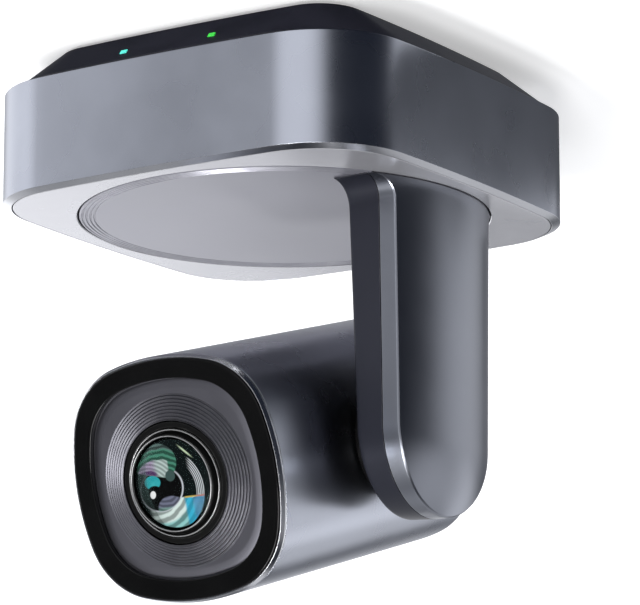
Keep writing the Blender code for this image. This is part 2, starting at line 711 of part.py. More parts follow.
def tilt_drive():
    drop = TILT_Z - TILT_MOTOR_DROP
    turned("tilt_motor", [(2.2, 57), (12, 57), (12, 53.1), (2.2, 53.1)], MAT["steel"], steps=20, axis="-X",
           place=(0, 0, drop), parent=PAN)
    low, high = TILT_BELT_LOW - 0.8, TILT_BELT_HIGH + 0.8
    turned("tilt_pulley", flanged(TILT_PULLEY_RADIUS, TILT_SHAFT_RADIUS + GAP, low, high, 0.5, 1.5),
           MAT["aluminium"], steps=24, axis="-X", parent=TILT)
    driver = [(0, high + 0.3), (1.9, high + 0.3)] + flanged(TILT_DRIVER_RADIUS, 1.9, low, high, 0.5, 1.5)
    turned("tilt_motor_pulley", driver + [(1.9, 53.4), (0, 53.4)], MAT["brass"], steps=16, axis="-X",
           place=(0, 0, drop), parent=PAN)
    belt("tilt_belt", TILT_PULLEY_RADIUS, TILT_DRIVER_RADIUS, TILT_MOTOR_DROP, 1.0, TILT_BELT_LOW,
         TILT_BELT_HIGH, "-X", (0, 0, TILT_Z), PAN)


def tilt_hub():
    """Hollow shaft that hangs the head on the arm; its collar fills the gap between them."""
    shaft = TILT_SHAFT_RADIUS
    profile = [(5, 61.8), (shaft, 61.8), (shaft, 43.6), (18, 43.6), (18, 38.9), (12, 38.9), (12, 34.4),
               (14.5, 34.4), (14.5, 31.5), (5, 31.5)]
    return turned("tilt_hub", profile, MAT["black"], steps=28, axis="-X", parent=TILT)


# ---------------------------------------------------------------- head casing

def head_half(s):
    return HEAD_HALF_REAR + (HEAD_HALF_FRONT - HEAD_HALF_REAR) * (s - HEAD_REAR) / (SHELL_FRONT - HEAD_REAR)


def head_shell():
    rear = HEAD_REAR
    stations = (
        (head_half(SHELL_FRONT), SHELL_FRONT),
        (head_half(rear + 3.0), rear + 3.0),
        (head_half(rear) - 0.9, rear + 0.9),
        (head_half(rear) - 3.0, rear),
        (BACK_HALF + GAP, rear),
        (BACK_HALF + GAP, rear + 2.3),
        (head_half(rear) - HEAD_WALL, rear + 5.0),
        (head_half(SHELL_FRONT) - HEAD_WALL, SHELL_FRONT),
    )
    rings = [head_ring(head_outline(half), s) for half, s in stations]
    shell = loft("head_shell", rings, MAT["shell"], TILT, closed=True)
    return cut(shell, turned("neck_hole", [(0, 45), (12.3, 45), (12.3, 30), (0, 30)], steps=32, axis="-X",
                             parent=TILT))


def head_back_plate():
    outline = head_outline(BACK_HALF)
    rings = [head_ring(outline, HEAD_REAR), head_ring(outline, HEAD_REAR + 2.0)]
    return loft("head_back_plate", rings, MAT["dark"], TILT)


def front_rim():
    bore = HEAD_HALF_FRONT - HEAD_WALL - GAP
    stations = (
        (HEAD_HALF_FRONT, SHELL_FRONT + GAP),
        (HEAD_HALF_FRONT, SHELL_FRONT + 0.9),
        (BEZEL_OUTER + 0.6, RIM_FRONT),
        (BEZEL_OUTER + GAP, RIM_FRONT),
        (BEZEL_OUTER + GAP, 60.1),
        (34.0, 60.1),
        (34.0, 58.5),
        (bore, 58.5),
        (bore, SHELL_FRONT + GAP),
    )
    return loft("front_rim", [head_ring(head_outline(h), s) for h, s in stations], MAT["bright"], TILT,
                closed=True)


def front_bezel():
    stations = (
        (BEZEL_OUTER, 60.4),
        (BEZEL_OUTER, BEZEL_FRONT - 0.4),
        (BEZEL_OUTER - 0.4, BEZEL_FRONT),
        (BEZEL_INNER + 0.4, BEZEL_FRONT),
        (BEZEL_INNER, BEZEL_FRONT - 0.4),
        (BEZEL_INNER, 60.4),
    )
    return loft("front_bezel", [head_ring(head_outline(h), s) for h, s in stations], MAT["gloss"], TILT,
                closed=True)


def lens_shroud():
    """Ridged surround: square at the bezel, then a shallow cone of ridges that rises to the lens."""
    edge = head_outline(BEZEL_INNER - GAP)
    back = head_outline(33.7)
    rings = [head_ring(edge, 61.6), head_ring(edge, 60.1), head_ring(back, 60.1), head_ring(back, 58.9),
             head_ring(circle_like(edge, SHROUD_BORE), 58.9, LENS_RISE)]
    ridges, valley = 3, 0.5
    for i in range(2 * ridges + 1):
        share = i / (2 * ridges)
        radius = SHROUD_BORE + (SHROUD_CIRCLE - SHROUD_BORE) * share
        top = SHROUD_HIGH + (SHROUD_LOW - SHROUD_HIGH) * share
        rise = LENS_RISE * (1 - share / 2)
        rings.append(head_ring(circle_like(edge, radius), top - valley * (i % 2), rise))
    return loft("lens_shroud", rings, MAT["dish"], TILT, closed=True)


# ---------------------------------------------------------------- lens

def lens_barrel():
    bore = GLASS_RADIUS + GAP
    profile = [(bore, BARREL_NOSE), (15.2, BARREL_NOSE), (16.0, BARREL_FACE), (BARREL_RADIUS, BARREL_FACE),
               (BARREL_RADIUS, 52.3), (13.2, 52.3), (13.2, 60.0), (bore, 60.0)]
    return turned("lens_barrel", profile, MAT["black"], axis="-Y", place=LENS_PLACE, parent=TILT)


def lens_rings():
    """Bright rings on the face of the barrel and on its nose."""
    for name, radius, back in (("outer_lens_ring", 16.55, BARREL_FACE + GAP),
                               ("inner_lens_ring", 14.75, BARREL_NOSE + GAP)):
        turned(name, [(radius - 0.25, back + 0.5), (radius + 0.25, back + 0.5), (radius + 0.25, back),
                      (radius - 0.25, back)], MAT["bright"], axis="-Y", place=LENS_PLACE, parent=TILT)


def dome(radius, rise, crown, steps):
    """Points of a convex lens face from its centre out to its edge."""
    sphere = (radius ** 2 + rise ** 2) / (2 * rise)
    swing = math.asin(radius / sphere)
    return [(sphere * math.sin(swing * i / steps), crown - sphere * (1 - math.cos(swing * i / steps)))
            for i in range(steps + 1)]


def front_glass():
    profile = dome(GLASS_RADIUS, 2.8, GLASS_CROWN, 5) + [(GLASS_RADIUS, 60.3), (0, 60.3)]
    return turned("front_glass", profile, MAT["glass"], axis="-Y", place=LENS_PLACE, parent=TILT)


def lens_housing():
    profile = [(LENS_TUBE_BORE, 52), (LENS_TUBE_RADIUS, 52), (LENS_TUBE_RADIUS, -12), (8, -12), (8, -10),
               (LENS_TUBE_BORE, -10)]
    return turned("lens_housing", profile, MAT["black"], steps=24, axis="-Y", place=LENS_PLACE, parent=TILT)


def lens_mount_plate():
    outline = head_outline(36.0)
    hole = circle_like(outline, LENS_TUBE_RADIUS + GAP)
    rings = [head_ring(outline, 44), head_ring(outline, 46), head_ring(hole, 46, LENS_RISE),
             head_ring(hole, 44, LENS_RISE)]
    return loft("lens_mount_plate", rings, MAT["steel"], TILT, closed=True)


def carriage(tag, s, thick, lens_radius, material):
    """One moving lens group: a carrier ring and the lens that it holds."""
    low, high = s, s + thick
    bore = lens_radius + GAP
    turned(tag + "_carriage", [(bore, high), (CARRIAGE_RADIUS, high), (CARRIAGE_RADIUS, low), (bore, low)],
           material, steps=20, axis="-Y", place=LENS_PLACE, parent=TILT)
    profile = dome(lens_radius, 1.2, high + 0.8, 3) + [(lens_radius, low + 0.6), (0, low + 0.6)]
    turned(tag + "_lens", profile, MAT["glass"], steps=20, axis="-Y", place=LENS_PLACE, parent=TILT)


def iris():
    turned("iris_diaphragm", [(5, 15.5), (CARRIAGE_RADIUS, 15.5), (CARRIAGE_RADIUS, 14), (5, 14)],
           MAT["black"], steps=20, axis="-Y", place=LENS_PLACE, parent=TILT)


def sensor_board():
    board = box("sensor_board", (34, 1.6, 34), (0, 14.8, LENS_RISE), MAT["board"], parent=TILT)
    return join(board, box("sensor_chip", (10, 2, 7), (0, 13.4, LENS_RISE), parent=TILT))


# ---------------------------------------------------------------- assembly

def build_base():
    base_housing()
    base_top_plate()
    bottom_cover()
    feet()
    tripod_insert()
    light_prism("status_light_pipe", STATUS_X, 0, MAT["teal"])
    light_prism("power_light_pipe", POWER_X, 0, MAT["green"])
    base_screws()
    io_panel()
    ports()
    power_button()
    main_board()
    pan_frame()
    pan_bearing()
    pan_motor()
    pan_pulleys()
    pan_belt()


def build_turntable():
    turntable_disc()
    turntable_hub()
    harness()
    arm_outer_shell()
    arm_inner_cover()
    arm_frame()
    tilt_bearing()
    tilt_drive()
    tilt_hub()


def build_head():
    head_shell()
    head_back_plate()
    front_rim()
    front_bezel()
    lens_shroud()
    lens_barrel()
    lens_rings()
    front_glass()
    lens_housing()
    lens_mount_plate()
    carriage("zoom", 32, 5, 9.0, MAT["black"])
    carriage("focus", 0, 5, 8.0, MAT["black"])
    iris()
    sensor_board()


clear_scene()
PARTS = new_collection("ptz_camera")
CUTTERS = new_collection("cutters")
MAT = make_materials()
PAN = empty("pan_axis", (0, 0, 0))
TILT = empty("tilt_axis", (0, 0, TILT_Z), (-HEAD_TILT, 0, 0), PAN)
build_base()
build_turntable()
build_head()
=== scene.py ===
"""Looks for the pan-tilt-zoom camera: finished casings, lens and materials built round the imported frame.

The frame is in metres.  Shapes here are written in millimetres in four local frames: BASE (Z up from
the desk), HEAD (X across, Y up the lens face, Z forward along the lens axis from the tilt axis),
ARM (the base frame again, with "depth" meaning the distance from the pan axis towards -X) and
TILT (Z along the tilt axis towards -X).
"""
import json
import math

import bmesh
import bpy
from mathutils import Matrix, Vector


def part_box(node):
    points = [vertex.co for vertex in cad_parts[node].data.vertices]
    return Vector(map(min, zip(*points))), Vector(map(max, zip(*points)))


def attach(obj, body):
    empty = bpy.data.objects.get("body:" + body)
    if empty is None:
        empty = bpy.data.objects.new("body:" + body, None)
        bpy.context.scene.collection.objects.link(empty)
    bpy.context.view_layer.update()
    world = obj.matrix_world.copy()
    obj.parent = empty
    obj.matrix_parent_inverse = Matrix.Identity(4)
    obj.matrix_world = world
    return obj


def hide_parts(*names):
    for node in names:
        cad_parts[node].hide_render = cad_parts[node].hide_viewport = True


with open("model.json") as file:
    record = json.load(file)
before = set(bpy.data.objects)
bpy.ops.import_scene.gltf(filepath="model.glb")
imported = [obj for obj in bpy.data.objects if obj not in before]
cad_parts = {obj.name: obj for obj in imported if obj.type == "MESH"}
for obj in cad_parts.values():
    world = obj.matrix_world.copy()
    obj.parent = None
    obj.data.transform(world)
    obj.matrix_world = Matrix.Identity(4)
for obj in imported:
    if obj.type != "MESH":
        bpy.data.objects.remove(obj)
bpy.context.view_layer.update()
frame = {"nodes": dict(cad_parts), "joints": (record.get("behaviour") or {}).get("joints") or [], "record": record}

MM = 0.001
METRE = 1000.0
CLOSE = 1e-7                   # vertices nearer than this (in metres) are one
GAP = 0.3                      # millimetres between neighbouring pieces
SHARP = 35.0                   # degrees between faces at which an edge is sharp

joints = {joint["name"]: joint for joint in frame["joints"]}


def millimetres(node):
    """A node's box in millimetres."""
    low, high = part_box(node)
    return low * METRE, high * METRE


# ---------------------------------------------------------------- driving dimensions, millimetres

TILT_Z = joints["tilt"]["pos_m"][2] * METRE
BASE_TOP = millimetres("base_top_plate")[1].z
BASE_HALF = millimetres("base_housing")[1].x
WALL_LOW = millimetres("base_housing")[0].z
PLATE_HALF = millimetres("base_top_plate")[1].x
PLATE_LOW = millimetres("base_top_plate")[0].z
TABLE_RADIUS = millimetres("turntable_disc")[1].x
TABLE_LOW = millimetres("turntable_disc")[0].z
COVER_LOW, COVER_HIGH = millimetres("bottom_cover")[0].z, WALL_LOW - GAP
COVER_HALF = millimetres("bottom_cover")[1].x
ARM_FOOT = millimetres("arm_outer_shell")[0].z

BASE_CORNER, BASE_BULGE = 30.7, 1.2
RIM_WIDTH, RIM_DROP = 2.3, 1.25
RECESS_RADIUS = 67.2
COVER_FLOOR_HALF, COVER_FLOOR_CORNER = 55.9, 13.5
COVER_TOP_CORNER, COVER_WALL = 34.4, 2.2
FOOT_PLACE, FOOT_RADIUS = 43.0, 5.5
INSERT_RADIUS = 6.3
POST_X, POST_Y = 47.0, 24.0
SCREW_RADIUS, SCREW_HEAD_RADIUS, SCREW_SEAT = 1.8, 3.2, 2.8
GROOVES = (61.6, 62.9, 64.2, 65.5)
GROOVE_HALF, GROOVE_FLOOR_HALF, GROOVE_DEPTH = 0.32, 0.12, 0.30
CABLE_X, CABLE_RADIUS = -50, 2.5

ARM_HALF_FOOT, ARM_HALF_TOP = 28.0, 26.4
ARM_FLARE = 7.0
ARM_RADIUS, ARM_LEAN = 66.9, 0.009
ARM_DOME_START, ARM_DOME_RADIUS = 80.8, 45.0
ARM_SPLIT = 54.6
ARM_FACE_FOOT, ARM_FACE_LEAN = 42.5, 0.026
ARM_WALL = 2.0
ARM_COLUMNS = 33
SHAFT_RADIUS = 9

HEAD_FRONT_HALF, HEAD_REAR_HALF = 38.6, 38.1
HEAD_CORNER, HEAD_BULGE = 0.63, 0.036      # shares of the half width
HEAD_REAR, SHELL_FRONT, RIM_FRONT, BEZEL_FRONT = -57.8, 59.5, 61.9, 62.2
HEAD_WALL, BACK_HALF, NECK_RADIUS = 2.0, 33.0, 12.3
RIM_SEAT, RIM_BACK, SHROUD_BACK = 60.1, 58.5, 58.9
BEZEL_OUTER, BEZEL_INNER = 37.4, 31.3
RIDGE_OUTER, RIDGE_INNER, RIDGES = 27.3, 19.4, 8
RIDGE_LOW, RIDGE_HIGH = 60.6, 62.7
BARREL_RADIUS, BARREL_FACE, BARREL_NOSE = 19.0, 62.2, 64.0
GLASS_RADIUS, GLASS_CROWN, GLASS_FOOT = 14.2, 67.0, 61.0
OUTER_RING_RADIUS, INNER_RING_RADIUS = 16.55, 14.75
RING_HALF, RING_HEIGHT = 0.17, 0.8
ELEMENT_RADIUS, ELEMENT_CROWN, ELEMENT_FOOT = 13.75, 64.2, 61.2
DOME_STEPS = 24

# ---------------------------------------------------------------- local frames

lens_axis = Vector(joints["zoom_travel"]["axis"]).normalized()
across = Vector((1, 0, 0))
lens_up = lens_axis.cross(across)
tilt_centre = Vector(joints["tilt"]["pos_m"])


def local_frame(x_axis, y_axis, z_axis, origin):
    """From millimetres along three axes to metres in the frame."""
    axes = Matrix((x_axis, y_axis, z_axis)).transposed().to_4x4()
    return Matrix.Translation(origin) @ axes @ Matrix.Scale(MM, 4)


BASE = Matrix.Scale(MM, 4)
HEAD = local_frame(across, lens_up, lens_axis, tilt_centre)
TILT = local_frame(Vector((0, 0, 1)), Vector((0, 1, 0)), Vector((-1, 0, 0)), tilt_centre)

ring_low, ring_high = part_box("inner_lens_ring")
lens_middle = (ring_low + ring_high) / 2
LENS_RISE = (lens_middle - tilt_centre).dot(lens_up) * METRE     # above the middle of the head
LENS = HEAD @ Matrix.Translation((0, LENS_RISE, 0))


# ---------------------------------------------------------------- outlines and sections

def rounded_square(half, corner, bulge, side_steps=20, corner_steps=16):
    """A square outline with round corners and gently bulging sides."""
    side_radius = ((half - corner) ** 2 + bulge ** 2) / (2 * bulge)
    swing = math.pi / 4 + math.asin((half - side_radius) / (side_radius - corner) / math.sqrt(2))
    centre = (side_radius - corner) * math.sin(swing)
    quarter = []
    for i in range(side_steps):
        a = swing * (2 * i / side_steps - 1)
        quarter.append((half - side_radius + side_radius * math.cos(a), side_radius * math.sin(a)))
    for i in range(corner_steps):
        a = swing + (math.pi / 2 - 2 * swing) * i / corner_steps
        quarter.append((centre + corner * math.cos(a), centre + corner * math.sin(a)))
    points = []
    for _ in range(4):
        points += quarter
        quarter = [(-y, x) for x, y in quarter]
    return points


def base_outline(half):
    """Outline of the base, with corners in proportion."""
    return rounded_square(half, BASE_CORNER * half / BASE_HALF, BASE_BULGE, 28, 22)


def cover_outline(half):
    """Outline of the tray, with tighter corners towards its floor."""
    share = (half - COVER_FLOOR_HALF) / (COVER_HALF - COVER_FLOOR_HALF)
    corner = COVER_FLOOR_CORNER + (COVER_TOP_CORNER - COVER_FLOOR_CORNER) * share
    return rounded_square(half, corner, 1.0, 28, 22)


def head_outline(half):
    """Outline of the head, the same shape at every size."""
    return rounded_square(half, HEAD_CORNER * half, HEAD_BULGE * half, 24, 24)


def circle(radius, steps):
    return [(radius * math.cos(2 * math.pi * i / steps), radius * math.sin(2 * math.pi * i / steps))
            for i in range(steps)]


def circle_like(outline, radius):
    """A circle whose points lie in the same directions as those of an outline."""
    return [(x * radius / math.hypot(x, y), y * radius / math.hypot(x, y)) for x, y in outline]


def filleted(corners, steps=4):
    """A closed section with rounded corners, from (width, height, corner radius)."""
    points = []
    for i, (width, height, radius) in enumerate(corners):
        here = Vector((width, height))
        if not radius:
            points.append((width, height))
            continue
        before = (Vector(corners[i - 1][:2]) - here).normalized()
        after = (Vector(corners[(i + 1) % len(corners)][:2]) - here).normalized()
        half_angle = before.angle(after) / 2
        centre = here + (before + after).normalized() * radius / math.sin(half_angle)
        start = here + before * radius / math.tan(half_angle) - centre
        end = here + after * radius / math.tan(half_angle) - centre
        turn = start.angle(end)
        for k in range(steps + 1):
            t = k / steps
            spoke = start * math.sin((1 - t) * turn) + end * math.sin(t * turn)
            points.append(tuple(centre + spoke / math.sin(turn)))
    return points


# ---------------------------------------------------------------- meshes

def mesh_from(edit, name, sharp=SHARP):
    """The mesh of an edit, with its doubles joined and its normals facing out."""
    bmesh.ops.remove_doubles(edit, verts=edit.verts, dist=CLOSE)
    bmesh.ops.recalc_face_normals(edit, faces=edit.faces)
    mesh = bpy.data.meshes.new(name)
    edit.to_mesh(mesh)
    edit.free()
    mesh.shade_smooth()
    mesh.set_sharp_from_angle(angle=math.radians(sharp))
    return mesh


def bridge(edit, first, second):
    """Faces between two closed rows of vertices; a row of one vertex is a point on the axis."""
    count = max(len(first), len(second))
    for i in range(count):
        j = (i + 1) % count
        corners = [first[i % len(first)], first[j % len(first)], second[j % len(second)],
                   second[i % len(second)]]
        corners = list(dict.fromkeys(corners))
        if len(corners) > 2:
            edit.faces.new(corners)


def skin(name, rings, place, sharp=SHARP):
    """A closed mesh over (points, height) rings, with the last ring joined to the first."""
    edit = bmesh.new()
    rows = [[edit.verts.new(place @ Vector((x, y, height))) for x, y in points]
            for points, height in rings]
    for first, second in zip(rows, rows[1:] + rows[:1]):
        bridge(edit, first, second)
    return mesh_from(edit, name, sharp)


def sweep(name, section, outline, place, sharp=SHARP):
    """Carries a closed section of (half width, height) points round an outline."""
    rings = [(outline(half) if half else [(0, 0)], height) for half, height in section]
    return skin(name, rings, place, sharp)


def lathe(name, section, place, sharp=SHARP, steps=144):
    """Turns a closed section of (radius, height) points about the local Z axis."""
    return sweep(name, section, lambda radius: circle(radius, steps), place, sharp)


def piece(name, mesh, body, slot, material, *stands_for):
    """A finished mesh on a CAD body, in place of the CAD nodes it stands for."""
    made = bpy.data.objects.new(name, mesh)
    bpy.context.scene.collection.objects.link(made)
    mesh.materials.append(material)
    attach(made, body)
    if stands_for:
        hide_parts(*stands_for)
    flatten = made.modifiers.new("normals", "WEIGHTED_NORMAL")
    flatten.keep_sharp = True
    flatten.weight = 100
    return made


def apply_modifiers(made):
    """Bakes an object's modifiers into its mesh, all but the first, which weights its normals."""
    kept = made.modifiers[0]
    kept.show_viewport = False
    bpy.context.view_layer.update()
    baked = bpy.data.meshes.new_from_object(made.evaluated_get(bpy.context.evaluated_depsgraph_get()))
    for step in list(made.modifiers)[1:]:
        made.modifiers.remove(step)
    kept.show_viewport = True
    baked.set_sharp_from_angle(angle=math.radians(SHARP))
    made.data = baked


def cut(made, mesh):
    """Cuts a closed mesh out of a piece, then throws the cutter away."""
    cutter = bpy.data.objects.new("cutter", mesh)
    bpy.context.scene.collection.objects.link(cutter)
    step = made.modifiers.new("cut", "BOOLEAN")
    step.operation = "DIFFERENCE"
    step.solver = "EXACT"
    step.object = cutter
    apply_modifiers(made)
    bpy.data.objects.remove(cutter, do_unlink=True)


def drill(made, radius, high, low, place, steps):
    """Cuts a round hole out of a piece, along the local Z axis."""
    cut(made, lathe("drill", [(0, high), (radius, high), (radius, low), (0, low)], place, steps=steps))


def block(low, high):
    """A box between two corners, as a mesh for cutting."""
    corners = [(low[0], low[1]), (high[0], low[1]), (high[0], high[1]), (low[0], high[1])]
    edit = bmesh.new()
    rows = [[edit.verts.new(BASE @ Vector((x, y, z))) for x, y in corners] for z in (low[2], high[2])]
    bridge(edit, *rows)
    for row in rows:
        edit.faces.new(row)
    return mesh_from(edit, "block")


# ---------------------------------------------------------------- shader building

class Shader:
    """A short way to write a node tree: every call returns the new node's first output."""

    def __init__(self, tree):
        self.tree = tree
        tree.nodes.clear()

    def node(self, kind, values=(), **settings):
        made = self.tree.nodes.new(kind)
        for name, value in settings.items():
            setattr(made, name, value)
        for key, value in dict(values).items():
            if isinstance(value, bpy.types.NodeSocket):
                self.tree.links.new(value, made.inputs[key])
            else:
                made.inputs[key].default_value = value
        return made

    def math(self, operation, *values, clamp=False):
        made = self.node("ShaderNodeMath", dict(enumerate(values)), operation=operation, use_clamp=clamp)
        return made.outputs[0]

    def vector(self, operation, *values):
        made = self.node("ShaderNodeVectorMath", dict(enumerate(values)), operation=operation)
        return made.outputs[1 if operation in ("DOT_PRODUCT", "LENGTH", "DISTANCE") else 0]

    def fade(self, value, start, end, low=0.0, high=1.0):
        """A smooth step from low at start to high at end."""
        return self.node("ShaderNodeMapRange", {0: value, 1: start, 2: end, 3: low, 4: high},
                         interpolation_type="SMOOTHSTEP").outputs[0]

    def mix(self, share, first, second):
        made = self.node("ShaderNodeMix", {0: share, 6: first, 7: second}, data_type="RGBA")
        return made.outputs[2]

    def noise(self, where, scale, detail=2.0):
        made = self.node("ShaderNodeTexNoise", {"Vector": where, "Scale": scale, "Detail": detail})
        return made.outputs["Fac"]

    def place(self):
        return self.node("ShaderNodeTexCoord").outputs["Object"]

    def scaled(self, colour, strength):
        """A colour, or a colour socket, made brighter or darker."""
        colour = colour[:3] if isinstance(colour, tuple) else colour
        made = self.node("ShaderNodeVectorMath", {0: colour, "Scale": strength}, operation="SCALE")
        return made.outputs[0]


def new_material(name):
    """A material with an empty node tree, and the writer for that tree."""
    made = bpy.data.materials.new(name)
    made.use_nodes = True
    return made, Shader(made.node_tree)


def grey(value, tint=(1.0, 1.0, 1.0)):
    """A grey, tinted a little, as a node colour."""
    return (value * tint[0], value * tint[1], value * tint[2], 1.0)


BARE_METAL = grey(0.6)
WORN_EDGE = 0.0004             # metres, how far paint is rubbed from an edge
GRAIN_SCALE = 2600             # per metre, grain of paint and of moulded surfaces
COAT_GRAIN = 0.0000015         # metres, height of the grain in paint
TOOL_MARKS = 0.00001           # metres, height of the lines left by a tool


def finish_surface(shader, values, bump=None, bump_depth=0.0):
    """A Principled surface, with a height field as bump, wired to the output."""
    surface = shader.node("ShaderNodeBsdfPrincipled", values)
    if bump is not None:
        raised = shader.node("ShaderNodeBump", {"Height": bump, "Distance": bump_depth, "Strength": 1.0})
        shader.tree.links.new(raised.outputs[0], surface.inputs["Normal"])
    shader.node("ShaderNodeOutputMaterial", {"Surface": surface.outputs[0]})


def edge_mask(shader):
    """1 on sharp edges, where a rounded normal leans away from the true one."""
    rounded = shader.node("ShaderNodeBevel", {"Radius": WORN_EDGE}, samples=4).outputs[0]
    true = shader.node("ShaderNodeNewGeometry").outputs["Normal"]
    return shader.fade(shader.vector("DOT_PRODUCT", rounded, true), 0.995, 0.90)


def coated_metal(name, colour, metallic, roughness, wear=0.35, specular=0.5):
    """Painted or plated metal: fine grain, cloudy roughness, and slightly rubbed edges."""
    material, shader = new_material(name)
    where = shader.place()
    cloud = shader.noise(where, 38.0, 3.0)
    speck = shader.noise(where, GRAIN_SCALE, 0.0)
    mottle = shader.math("ADD", cloud, shader.math("MULTIPLY", speck, 0.12))
    base = shader.scaled(colour, shader.fade(mottle, 0.35, 0.85, 0.95, 1.05))
    if wear:
        patches = shader.fade(shader.noise(where, 210.0, 4.0), 0.3, 0.7)
        rubbed = shader.math("MULTIPLY", edge_mask(shader), patches)
        base = shader.mix(shader.math("MULTIPLY", rubbed, wear), base, BARE_METAL)
    rough = shader.math("ADD", roughness - 0.05, shader.math("MULTIPLY", cloud, 0.10))
    values = {"Base Color": base, "Metallic": metallic, "Roughness": rough, "Specular IOR Level": specular}
    finish_surface(shader, values, speck, COAT_GRAIN)
    return material


def moulded(name, colour, roughness, grain=0.00003, specular=0.5):
    """Moulded plastic or rubber: spark-eroded grain and slightly uneven gloss."""
    material, shader = new_material(name)
    where = shader.place()
    cell = shader.node("ShaderNodeTexVoronoi", {"Vector": where, "Scale": GRAIN_SCALE}).outputs["Distance"]
    cloud = shader.noise(where, 60.0, 3.0)
    base = shader.scaled(colour, shader.fade(cloud, 0.3, 0.7, 0.85, 1.15))
    rough = shader.math("ADD", roughness - 0.04, shader.math("MULTIPLY", cloud, 0.08))
    values = {"Base Color": base, "Roughness": rough, "Specular IOR Level": specular}
    finish_surface(shader, values, cell, grain)
    return material


def turned_metal(name, colour, roughness):
    """Bare machined metal: fine lines left by the tool."""
    material, shader = new_material(name)
    where = shader.place()
    lines = shader.node("ShaderNodeTexWave", {"Vector": where, "Scale": 900.0, "Distortion": 2.0,
                                              "Detail": 2.0}, wave_type="RINGS", rings_direction="Z")
    cloud = shader.noise(where, 90.0, 4.0)
    base = shader.scaled(colour, shader.fade(cloud, 0.3, 0.7, 0.88, 1.08))
    rough = shader.math("ADD", roughness - 0.05, shader.math("MULTIPLY", cloud, 0.12))
    finish_surface(shader, {"Base Color": base, "Metallic": 1.0, "Roughness": rough},
                   lines.outputs["Fac"], TOOL_MARKS)
    return material


def lit_pipe(name, colour, strength):
    """Translucent light pipe with a brighter middle."""
    material, shader = new_material(name)
    where = shader.place()
    glow = shader.fade(shader.noise(where, 700.0, 1.0), 0.2, 0.8, 0.8 * strength, 1.1 * strength)
    finish_surface(shader, {"Base Color": colour, "Roughness": 0.25, "Emission Color": colour,
                            "Emission Strength": glow})
    return material


def circuit_board(name):
    """Green solder mask with a faint net of copper tracks beneath it."""
    material, shader = new_material(name)
    where = shader.place()
    tracks = shader.node("ShaderNodeTexBrick", {"Vector": where, "Scale": 160.0, "Mortar Size": 0.08})
    copper = shader.fade(tracks.outputs["Fac"], 0.3, 0.7)
    base = shader.mix(copper, (0.008, 0.10, 0.035, 1.0), (0.02, 0.20, 0.06, 1.0))
    finish_surface(shader, {"Base Color": base, "Roughness": 0.35, "Coat Weight": 0.5}, copper, 0.00003)
    return material


def clear_glass(name, tint):
    """Thin coated glass: see-through, with a tinted reflection that grows towards the edge."""
    material, shader = new_material(name)
    edge = shader.node("ShaderNodeLayerWeight", {"Blend": 0.25}).outputs["Fresnel"]
    ripple = shader.noise(shader.place(), 30.0, 1.0)
    rough = shader.math("MULTIPLY", ripple, 0.03)
    clear = shader.node("ShaderNodeBsdfTransparent", {0: (0.97, 0.98, 0.98, 1.0)}).outputs[0]
    shine = shader.node("ShaderNodeBsdfGlossy", {"Color": tint, "Roughness": rough}).outputs[0]
    share = shader.math("MULTIPLY", edge, 0.55, clamp=True)
    both = shader.node("ShaderNodeMixShader", {0: share, 1: clear, 2: shine}).outputs[0]
    shader.node("ShaderNodeOutputMaterial", {"Surface": both})
    return material


# ---------------------------------------------------------------- painted lens reflections

def lens_coordinates(shader):
    """(x, up) in millimetres on the lens face, from the position at rest."""
    where = shader.place()
    from_axis = shader.vector("SUBTRACT", where, tuple(tilt_centre))
    x = shader.math("MULTIPLY", shader.vector("DOT_PRODUCT", from_axis, tuple(across)), METRE)
    up = shader.math("MULTIPLY", shader.vector("DOT_PRODUCT", from_axis, tuple(lens_up)), METRE)
    return x, up


def reach_from(shader, x, up, centre, stretch=1.0):
    """How far a point is from a centre, with heights divided by stretch."""
    dx = shader.math("SUBTRACT", x, centre[0])
    dy = shader.math("DIVIDE", shader.math("SUBTRACT", up, centre[1]), stretch)
    return shader.math("SQRT", shader.math("ADD", shader.math("MULTIPLY", dx, dx),
                                           shader.math("MULTIPLY", dy, dy)))


def disc_mask(shader, x, up, centre, radius, soft, stretch=1.0):
    """1 inside a disc (or an ellipse stretched upwards), 0 outside."""
    reach = reach_from(shader, x, up, centre, stretch)
    return shader.fade(reach, radius - soft, radius + soft, 1.0, 0.0)


def ring_mask(shader, x, up, centre, radius, width, stretch):
    """1 on a thin soft ring, 0 elsewhere."""
    outer = disc_mask(shader, x, up, centre, radius + width / 2, width / 2, stretch)
    inner = disc_mask(shader, x, up, centre, radius - width / 2, width / 2, stretch)
    return shader.math("SUBTRACT", outer, inner, clamp=True)


def both(shader, *masks):
    """The overlap of several masks."""
    result = masks[0]
    for mask in masks[1:]:
        result = shader.math("MULTIPLY", result, mask)
    return result


def line_mask(shader, value, middle, width):
    """1 where a value is close to the middle, 0 from a width away."""
    away = shader.math("ABSOLUTE", shader.math("SUBTRACT", value, middle))
    return shader.fade(away, width, width * 0.3)


def stripes(shader, value, pitch, low, high):
    """Soft bands across a value."""
    wave = shader.math("SINE", shader.math("MULTIPLY", value, 2 * math.pi / pitch))
    return shader.fade(wave, -0.6, 0.8, low, high)
